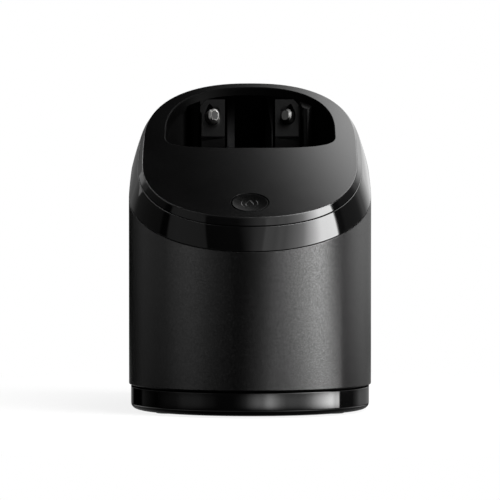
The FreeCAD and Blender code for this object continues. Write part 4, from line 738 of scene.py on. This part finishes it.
def band():
    """The gloss band: hardly bulged between its seams, with a rounded edge at each."""
    la, lm, lc = math.atan(0.493), math.atan(0.5165), math.atan(0.54)
    low = row(spline(body_line(0.05), la), 108.2, 0.493, 0.05)
    mid = row(spline(middle_line(), lm), 115.3, 0.5165)
    top = row(spline(collar_line(), lc), 120.9, 0.54)
    low_in = row(spline(body_line(2.25), la), 108.2, 0.493, 0.05)
    top_in = row(spline(collar_line(2.2), lc), 120.9, 0.54, -2.2)
    flange = row(spline(flange_line(), lc), 120.9, 0.54)
    flange_low = row(spline(flange_line(), lc), 120.9, 0.54, -2.2)
    span = np.linalg.norm(top - low, axis=1, keepdims=True)
    tm = np.linalg.norm(mid - low, axis=1, keepdims=True) / (np.linalg.norm(mid - low, axis=1, keepdims=True) + np.linalg.norm(top - mid, axis=1, keepdims=True))
    mid = mid + 0.8 * (low + (top - low) * tm - mid)

    def at(t):
        return low * ((t - tm) * (t - 1)) / (tm * 1.0) + mid * (t * (t - 1)) / (tm * (tm - 1)) + top * (t * (t - tm)) / (1 - tm)

    e1 = 0.5 * MM
    inward_low = low_in - low
    inward_low /= np.linalg.norm(inward_low, axis=1, keepdims=True)
    inward_top = flange - top
    inward_top /= np.linalg.norm(inward_top, axis=1, keepdims=True)
    # a narrow groove between the shell and the band, then the band's softened lower edge
    g = 0.40 * MM
    rows = [low + inward_low * 1.1 * MM, at(g / span) + inward_low * 1.1 * MM, at(g / span) + inward_low * 0.22 * MM]
    e0 = g + 0.2 * MM
    for k in range(1, 5):
        a = math.radians(90 * k / 4)
        foot = at(g / span)
        rows.append(foot + inward_low * (0.2 - 0.2 * math.sin(a)) * MM + (at(e0 / span) - foot) * (1 - math.cos(a)))
    for k in range(1, 13):
        t = e0 / span + (1 - (e0 + e1) / span) * k / 12
        rows.append(at(t))
    # the seam under the cover's skirt is a little wider than the gasket is thick
    tip = at(1 - 0.22 * MM / span)
    edge = at(1 - e1 / span)
    down = edge - tip
    for k in range(1, 5):
        a = math.radians(90 * k / 4)
        rows.append(tip + down * (1 - math.sin(a)) + inward_top * (e1 - e1 * math.cos(a)))
    rows.append(flange + tip - top)
    rows.append(flange_low)
    rows.append(top_in)
    rows.append(low_in)
    verts, faces = swept(rows)
    mesh_object("band", verts, faces, GLOSS, "housing", ("gloss_band",), sharp=40.0)


# ---------------------------------------------------------------- start button


def drop_distance(x, y):
    """Distance to the line of the icon, a droplet between two arcs, in mm; x to the right, y up the slope."""
    r = 1.9
    cy = -0.75
    apex = 3.1
    # droplet: a circle and the two tangents from the apex
    h = apex - cy
    s = r / h
    c = math.sqrt(1 - s * s)
    tx, ty = r * c, cy + r * s
    best = 9.0
    d = math.hypot(x, y - cy)
    ang = math.degrees(math.atan2(y - cy, x))
    limit = math.degrees(math.asin(s))
    if not (limit < ang < 180 - limit):
        best = abs(d - r)
    for sx in (-1.0, 1.0):
        ax, ay, bx, by = sx * tx, ty, 0.0, apex
        ux, uy = bx - ax, by - ay
        t = max(0.0, min(1.0, ((x - ax) * ux + (y - ay) * uy) / (ux * ux + uy * uy)))
        best = min(best, math.hypot(x - ax - ux * t, y - ay - uy * t))
    d = math.hypot(x, y)
    ang = math.degrees(math.atan2(y, abs(x)))
    if -48 < ang < 40:
        best = min(best, abs(d - 4.0))
    return best


def start_key():
    """The start button: a rounded rim, a dish and an engraved droplet, on its stem."""
    plan = -36.8
    centre = Vector((0.0, plan + SHIFT, 124.3 + 0.54 * plan))
    right = Vector((1, 0, 0))
    up = Vector((0, math.cos(FACE), math.sin(FACE)))
    radius, edge, top = 8.9, 0.45, -0.05
    sphere, dish = 72.0, 0.55
    n = 180

    def place(x, y, h):
        return tuple((centre + right * x + up * y + NORMAL * h) * MM)

    def height(x, y):
        d = math.hypot(x, y)
        rim = math.sqrt(max(0.0, 2 * sphere * dish - dish * dish))
        h = top
        if d < rim:
            h = top - (math.sqrt(sphere * sphere - d * d) - (sphere - dish))
        line = drop_distance(x, y)
        w = max(0.0, 1.0 - line / 0.30)
        return h - 0.085 * (w * w * (3 - 2 * w))

    verts, rings = [], []
    radii = [0.10 * k for k in range(1, 60)] + [6.1, 6.4, 6.8, 7.2, 7.6, 8.0, radius - edge]
    verts.append(place(0, 0, height(0, 0)))
    for r in radii:
        rings.append(len(verts))
        for k in range(n):
            a = 2 * math.pi * k / n
            x, y = r * math.cos(a), r * math.sin(a)
            verts.append(place(x, y, height(x, y)))
    for k in range(1, 6):
        a0 = math.radians(90 * k / 5)
        rr, hh = radius - edge + edge * math.sin(a0), top - edge + edge * math.cos(a0)
        rings.append(len(verts))
        for j in range(n):
            a = 2 * math.pi * j / n
            verts.append(place(rr * math.cos(a), rr * math.sin(a), hh))
    for rr, hh in ((radius, -2.75), (radius - 0.25, -3.0), (2.85, -3.0), (2.6, -3.25), (2.6, -4.95), (2.35, -5.2)):
        rings.append(len(verts))
        for j in range(n):
            a = 2 * math.pi * j / n
            verts.append(place(rr * math.cos(a), rr * math.sin(a), hh))
    faces = []
    for j in range(n):
        faces.append((0, rings[0] + j, rings[0] + (j + 1) % n))
    for a, b in zip(rings, rings[1:]):
        for j in range(n):
            e = (j + 1) % n
            faces.append((a + j, b + j, b + e, a + e))
    faces.append(tuple(rings[-1] + j for j in range(n))[::-1])
    key = mesh_object("start_key", verts, faces, KEY, "start_button", ("start_button",), sharp=50.0, weighted=False)
    key.data.materials.append(KEY_EDGE)
    middle = centre * MM
    for p in key.data.polygons:
        d = Vector(p.center) - middle
        if (d - NORMAL * d.dot(NORMAL)).length > (radius - edge - 0.1) * MM:
            p.material_index = 1


# ---------------------------------------------------------------- recess


AIMS = {}
for side in (-1.0, 1.0):
    aim = Vector((-side * 0.33, -0.92, 0.2)).normalized()
    rise_v = (Vector((0, 0, 1)) - aim * aim.z).normalized()
    AIMS[side] = (Vector((side * 18.5, 61.5 + SHIFT, 150.0)), aim, rise_v, aim.cross(rise_v))


def oval(a, b, n=56, power=2.5):
    """A loop half a wide and half b tall, a little squarer than an ellipse."""
    pts = []
    for k in range(n):
        t = 2 * math.pi * k / n
        c, s = math.cos(t), math.sin(t)
        pts.append((math.copysign(abs(c) ** (2.0 / power), c) * a, math.copysign(abs(s) ** (2.0 / power), s) * b))
    return pts


def along_aim(side, loop, depth):
    """A loop (across, up) placed across the pin's axis, depth behind its tip."""
    tip, aim, up_v, across = AIMS[side]
    return np.array([tuple((tip - aim * depth + across * x + up_v * y) * MM) for x, y in loop])


def contact_pin(name, side):
    """A contact pin: a tall oval stud with a broad bevel round its end face."""
    a, b = 3.1, 3.75
    rows = [along_aim(side, oval(2.6, 3.8), 8.8), along_aim(side, oval(2.6, 3.8), 6.9), along_aim(side, oval(a, b), 6.4),
            along_aim(side, oval(a, b), 1.55)]
    for k in range(1, 5):
        turn = math.radians(45.0 * k / 4)
        fall = 0.35 * (1 - math.cos(turn))
        rows.append(along_aim(side, oval(a - fall, b - fall), 1.55 - 0.35 * math.sin(turn)))
    rows.append(along_aim(side, oval(a - 0.98, b - 0.98), 0.26))
    for k in range(1, 4):
        rows.append(along_aim(side, oval(a - 0.98 - 0.08 * k, b - 0.98 - 0.08 * k), 0.26 - 0.26 * math.sin(math.radians(30.0 * k))))
    verts, faces = capped(rows)
    obj = mesh_object(name, verts, faces, PIN_SIDE_PAINTED_LIGHT_AND_SHADE[side], "contact_left" if side < 0 else "contact_right",
                      ("contact_pin_left" if side < 0 else "contact_pin_right",), sharp=28.0)
    # the end face takes the pin's painted shade; the sides keep the side copy, bright on the left pin and dark on the
    # right
    obj.data.materials.append(PIN_END_PAINTED_SHADE[side])
    tip, aim, up_v, across = AIMS[side]
    for p in obj.data.polygons:
        if len(p.vertices) > 8 and (Vector(p.center) - tip * MM).length < 0.003:
            p.material_index = 1


def pocket(name, side):
    """The cutter for a pin's pocket: an oval with a point at its top."""
    base = oval(3.5, 4.2, 72, 2.3)
    loop = []
    for x, y in base:
        # the point: above the shoulders the sides run straight up to it
        if y > 2.2:
            t = (y - 2.2) / (4.2 - 2.2)
            y = 2.2 + (8.0 - 2.2) * t
            x = x if abs(x) < 1e-9 else math.copysign(min(abs(x), 3.4 * (1 - (y - 2.2) / 5.8) ** 0.8), x)
        loop.append((x, y))
    verts, faces = capped([along_aim(side, loop, 8.2), along_aim(side, loop, -3.0)])
    return raw_object(name, verts, faces)


def recess_block():
    """The moulding on the back of the recess: the carried-over solid with deeper pockets and softened edges."""
    source = nodes["contact_block"]
    me = source.data.copy()
    me.name = "recess_block"
    bm = bmesh.new()
    bm.from_mesh(me)
    bmesh.ops.remove_doubles(bm, verts=bm.verts, dist=1e-7)
    bmesh.ops.dissolve_limit(bm, angle_limit=math.radians(0.6), verts=bm.verts, edges=bm.edges)
    bmesh.ops.recalc_face_normals(bm, faces=bm.faces)
    bm.to_mesh(me)
    bm.free()
    obj = bpy.data.objects.new("recess_block", me)
    scene.collection.objects.link(obj)
    me.materials.clear()
    me.materials.append(WELL)
    boolean(obj, [pocket("pocket_l", -1.0), pocket("pocket_r", 1.0)])
    me = obj.data
    # slot 1 is the painted shade, slot 2 the flanks' painted light
    me.materials.append(DEEP_PAINTED_SHADE)
    me.materials.append(FLANK_PAINTED_LIGHT)
    for p in me.polygons:
        c, n = Vector(p.center) / MM, p.normal
        plan = c.y - SHIFT
        channel = abs(c.x) < 8.4 and plan > 72.5
        if 7.9 < abs(c.x) < 12.05 and 50.0 < plan < 75.0:
            p.material_index = 2
            continue
        # the left flank alone gets the painted shade; the right flank keeps the well's finish
        if c.x < -25.6:
            p.material_index = 1
            continue
        slot = (12.0 - 0.1 < abs(c.x) < 13.4 and abs(n.x) > 0.8 and plan > 62.5) or (12.0 < abs(c.x) < 13.4 and plan > 71.0)
        inside = False
        for side in (-1.0, 1.0):
            tip, aim, up_v, across = AIMS[side]
            d = c - tip
            u, w = d.dot(across), d.dot(up_v)
            deep = -d.dot(aim)
            if abs(u) < 3.6 and -4.4 < w < 8.1 and deep > 1.0 and abs(n.dot(aim)) < 0.75 or (abs(u) < 3.5 and -4.4 < w < 7.5 and deep > 8.0):
                inside = True
        if channel or slot or inside:
            p.material_index = 1
    bevel = obj.modifiers.new("edge", "BEVEL")
    bevel.width = 0.00032
    bevel.segments = 3
    bevel.limit_method = "ANGLE"
    bevel.angle_limit = math.radians(32)
    bevel.use_clamp_overlap = True
    smooth(obj, 40.0)
    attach(obj, "housing")
    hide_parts("contact_block")


base_ring()
shell()
band()
start_key()
recess_block()
contact_pin("contact_stud_left", -1.0)
contact_pin("contact_stud_right", 1.0)


# ---------------------------------------------------------------- stage and light


def flat_plane(name, centre, across, along, half_u, half_v):
    """A rectangle with its own axes, so that its object coordinates run in metres along them."""
    me = bpy.data.meshes.new(name)
    me.from_pydata([(-half_u, -half_v, 0), (half_u, -half_v, 0), (half_u, half_v, 0), (-half_u, half_v, 0)], [], [(0, 1, 2, 3)])
    obj = bpy.data.objects.new(name, me)
    scene.collection.objects.link(obj)
    u, v = Vector(across).normalized(), Vector(along).normalized()
    w = u.cross(v)
    obj.matrix_world = Matrix(((u.x, v.x, w.x, centre[0]), (u.y, v.y, w.y, centre[1]), (u.z, v.z, w.z, centre[2]), (0, 0, 0, 1)))
    return obj


def floor():
    obj = flat_plane("floor", (0, 0, 0), (1, 0, 0), (0, 1, 0), 12.0, 12.0)
    m = bpy.data.materials.new("floor")
    m.use_nodes = True
    t = Tree(m.node_tree)
    for n in list(m.node_tree.nodes):
        m.node_tree.nodes.remove(n)
    out = m.node_tree.nodes.new("ShaderNodeOutputMaterial")
    coord = m.node_tree.nodes.new("ShaderNodeTexCoord").outputs["Object"]
    length = m.node_tree.nodes.new("ShaderNodeVectorMath")
    length.operation = "LENGTH"
    t.link(coord, length.inputs[0])
    radius = length.outputs["Value"]
    paper = m.node_tree.nodes.new("ShaderNodeBsdfDiffuse")
    paper.inputs[0].default_value = (0.86, 0.86, 0.86, 1)
    white = m.node_tree.nodes.new("ShaderNodeEmission")
    white.inputs[0].default_value = (1, 1, 1, 1)
    white.inputs[1].default_value = 1.0
    seen = m.node_tree.nodes.new("ShaderNodeMixShader")
    t.link(t.span(radius, 0.07, 0.26, 0.86, 1.0), seen.inputs[0])
    t.link(paper.outputs[0], seen.inputs[1])
    t.link(white.outputs[0], seen.inputs[2])
    t.link(seen.outputs[0], out.inputs[0])
    obj.data.materials.append(m)
    obj.visible_diffuse = False
    obj.visible_glossy = False
    obj.visible_shadow = False
    obj.visible_transmission = False


def surroundings():
    """A white room for the camera; for everything else a ring of soft panels round a dark studio."""
    world = bpy.data.worlds.new("studio")
    scene.world = world
    world.use_nodes = True
    t = Tree(world.node_tree)
    for n in list(world.node_tree.nodes):
        world.node_tree.nodes.remove(n)
    out = world.node_tree.nodes.new("ShaderNodeOutputWorld")
    coord = world.node_tree.nodes.new("ShaderNodeTexCoord").outputs["Generated"]
    parts = world.node_tree.nodes.new("ShaderNodeSeparateXYZ")
    t.link(coord, parts.inputs[0])
    azimuth = t.math("ARCTAN2", parts.outputs[0], t.math("MULTIPLY", parts.outputs[1], -1.0))
    place = t.span(azimuth, -math.pi, math.pi, 0.0, 1.0)
    peak = 14.0

    def at(deg, value):
        return ((deg + 180.0) / 360.0, value / peak)

    elevation = t.math("ARCSINE", parts.outputs[2])
    height = t.span(elevation, -math.pi / 2, math.pi / 2, 0.0, 1.0)
    # the panels lean, so that their edges move towards the camera with height
    lean = t.math("MULTIPLY", t.math("MAXIMUM", elevation, 0.0), 0.12)
    leaned = t.span(t.math("ADD", azimuth, lean), -math.pi, math.pi, 0.0, 1.0)

    def up(deg, value):
        return ((deg + 90.0) / 180.0, value)

    def ring(stops, rise, coordinate=place):
        return t.math("MULTIPLY", t.ramp(coordinate, [at(a, v) for a, v in stops]), t.ramp(height, [up(a, v) for a, v in rise]))

    # high up: what the band and the cover's skirt show
    high = t.math("MULTIPLY", ring([(16, 0), (24, 1.1), (30, 1.7), (36, 2.35), (41, 3.3), (47, 6.5), (53, 9.5), (60, 14), (110, 14)],
                                   [(8, 0), (13, 1.1), (84, 1.2), (88, 0)]),
                  t.ramp(leaned, [at(82, peak), at(83.2, 0.0)]))
    front = ring([(-5, 0), (-2, 0.09), (0, 0.19), (2, 0.34), (4, 0.44), (7, 0.5), (7.6, 0.95), (10, 0.9), (13, 0.92), (16, 0.85), (20, 0.6), (24, 0)],
                 [(24, 0), (28, 1.15), (84, 1.2), (88, 0)])
    side = ring([(-74, 0), (-72.5, 0.20), (-62, 0.23), (-40, 0.2), (-32.5, 0.19), (-31, 0)], [(8, 0), (12, 1), (80, 1), (86, 0)])
    fill = ring([(-178, 0), (-165, 0.12), (-128, 0.15), (-112, 0.8), (-90, 0.8), (-82, 0)], [(38, 0), (46, 1), (60, 1), (68, 0)])
    rim_left = ring([(-179, 0), (-172, 0.25), (-166, 0.2), (-160, 0.18), (-152, 0.23), (-147, 0.3), (-140, 0.25), (-135, 0.2), (-131, 0.12), (-127, 0.08),
                     (-84, 0.055), (-82, 0)], [(1, 0), (3, 1), (34, 1), (42, 0)])
    rim_right = ring([(88.5, 0), (92, 0.08), (110, 0.1), (118, 0.12), (121, 0.2), (126, 0.42), (131, 0.47), (134, 0.75), (138, 1.0), (142, 1.3),
                      (147, 1.44), (152, 1.5), (155, 1.43), (160, 1.15), (166, 0.9), (172, 0.75), (179, 0)],
                     [(1, 0), (3, 1), (34, 1), (42, 0)])
    # level with the station: what the shell shows, spread by its matt surface
    right = ring([(5, 0), (9, 0.15), (13.7, 0.6), (18.6, 1.6), (23.6, 2.8), (29, 4.3), (34, 5.0), (40, 6.8), (46, 8.3), (52, 9.5), (58, 10.9),
                  (64, 9.5), (70, 6.2), (76, 2.2), (82, 0.3), (86, 0)], [(-3.2, 0), (-2.8, 1), (5, 1), (9, 0)])
    left = ring([(-88, 0), (-86, 0.37), (-78, 0.48), (-70, 0.75), (-63, 0.94), (-56, 1.08), (-50, 1.13), (-44, 0.99), (-38, 0.82), (-32, 0.6),
                 (-27, 0.47), (-22, 0.38), (-17, 0.25), (-12, 0.14), (-7.5, 0.04), (-3, 0)], [(-3.2, 0), (-2.8, 1), (5, 1), (9, 0)])
    far_right = ring([(84, 0), (88, 0.7), (99, 1.5), (110, 1.8), (122, 1.4), (138, 0.7), (150, 0.4), (170, 0.3), (176, 0)],
                     [(-3.1, 0), (-2.7, 1), (4, 1), (7, 0)])
    far_left = ring([(-150, 0), (-138, 0.04), (-130, 0.09), (-118, 0.24), (-106, 0.34), (-96, 0.38), (-88, 0.40), (-85, 0)],
                    [(-3.1, 0), (-2.7, 1), (4, 1), (7, 0)])
    # just below: what the gloss ring shows
    foot = ring([(-12, 0), (-7, 0.08), (-3, 0.3), (0.5, 1.0), (4.6, 1.9), (9, 2.3), (13, 4.5), (16, 4.8), (19, 3.6), (24, 1.9), (29, 1.07),
                 (41, 1.07), (47, 1.6), (53, 3.2), (60, 6.6), (67, 10.3), (75, 14), (79, 14), (83, 10), (88.5, 9.6), (89.5, 0)],
                [(-6.0, 0), (-5.5, 1), (-4.0, 1), (-3.5, 0)])
    foot_left = ring([(-170, 0.3), (-150, 0), (-126, 0), (-122, 0.07), (-112, 0.04), (-96, 0), (-84, 0.04), (-68, 0.09), (-60, 0.23), (-48, 0.25),
                      (-42, 0.22), (-36, 0.12), (-30, 0.07), (-26, 0.02), (-22, 0), (112, 0), (120, 0.2), (128, 0.5), (145, 0.33), (160, 0.3)],
                     [(-6.0, 0), (-5.5, 1), (-4.0, 1), (-3.5, 0)])
    # the floor's glow behind the station
    glow = ring([(-180, 0.9), (-160, 2.0), (-135, 1.5), (-112, 0.7), (-96, 0.35), (-86, 0), (86, 0), (96, 0.35), (112, 0.8), (135, 1.6), (160, 2.2),
                 (180, 0.9)], [(-62, 0), (-48, 1), (-13, 1), (-8, 0)])
    # and in front of it, lower down
    near = ring([(-98, 0), (-86, 0.35), (-60, 0.5), (-30, 0.25), (0, 0.2), (20, 0.6), (40, 1.6), (62, 1.9), (80, 0.9), (98, 0)],
                [(-62, 0), (-48, 1), (-19, 1), (-13, 0)])
    total = None
    for one in (high, front, side, fill, rim_left, rim_right, right, left, far_right, far_left, foot, foot_left, glow, near):
        total = one if total is None else t.math("ADD", total, one)
    strength = t.math("MULTIPLY", total, peak)
    studio = world.node_tree.nodes.new("ShaderNodeBackground")
    studio.inputs[0].default_value = (1, 1, 1, 1)
    t.link(strength, studio.inputs[1])
    white = world.node_tree.nodes.new("ShaderNodeBackground")
    white.inputs[0].default_value = (1, 1, 1, 1)
    white.inputs[1].default_value = 1.0
    path = world.node_tree.nodes.new("ShaderNodeLightPath")
    pick = world.node_tree.nodes.new("ShaderNodeMixShader")
    t.link(path.outputs["Is Camera Ray"], pick.inputs[0])
    t.link(studio.outputs[0], pick.inputs[1])
    t.link(white.outputs[0], pick.inputs[2])
    t.link(pick.outputs[0], out.inputs[0])


def overhead():
    """The panel above and behind, which grows brighter to the right and lies in the sloping face."""
    mirror = Vector((0.0, 0.5476, 0.8367)).normalized()
    centre = Vector((0.0, SHIFT * MM, 0.1243)) + mirror * 0.30
    along = Vector((0.0, 0.8367, -0.5476))
    shift = -0.1125
    obj = flat_plane("panel_above", centre + Vector((shift, 0, 0)), (1, 0, 0), along, 0.3375, 0.20)
    m = bpy.data.materials.new("panel_above")
    m.use_nodes = True
    t = Tree(m.node_tree)
    for n in list(m.node_tree.nodes):
        m.node_tree.nodes.remove(n)
    out = m.node_tree.nodes.new("ShaderNodeOutputMaterial")
    coord = m.node_tree.nodes.new("ShaderNodeTexCoord").outputs["Object"]
    parts = m.node_tree.nodes.new("ShaderNodeSeparateXYZ")
    t.link(coord, parts.inputs[0])
    v = t.math("MINIMUM", parts.outputs[1], 0.02)
    s = t.math("ADD", t.math("ADD", parts.outputs[0], shift), t.math("MULTIPLY", v, 0.66))
    place = t.span(s, -0.3, 0.3, 0.0, 1.0)
    peak = 3.4

    def at(mm, value):
        return ((mm / 1000.0 + 0.3) / 0.6, value / peak)

    level = t.ramp(place, [at(-60, 0.0), at(-25, 0.01), at(8, 0.11), at(25, 0.34), at(42, 0.92), at(60, 1.95), at(78, 2.9), at(100, 3.4), at(180, 3.4), at(230, 1.0)])
    # its far left end draws the thin line along the cover's edge
    line = t.ramp(place, [at(-290, 0.17), at(-222, 0.17), at(-212, 3.2), at(-196, 3.2), at(-186, 0.17), at(-165, 0.15), at(-120, 0.0)])
    edge = t.math("MULTIPLY", t.ramp(place, [at(-225, 0.6), at(-215, 0.0)]), t.span(parts.outputs[1], 0.12, 0.15, 0.0, 1.0))
    line = t.math("ADD", line, edge)
    level = t.math("ADD", level, line)
    light = m.node_tree.nodes.new("ShaderNodeEmission")
    t.link(t.math("MULTIPLY", level, peak), light.inputs[1])
    t.link(light.outputs[0], out.inputs[0])
    obj.data.materials.append(m)
    obj.visible_camera = False
    obj.visible_shadow = False
    obj.visible_diffuse = False
    obj.visible_transmission = False


floor()
surroundings()
overhead()
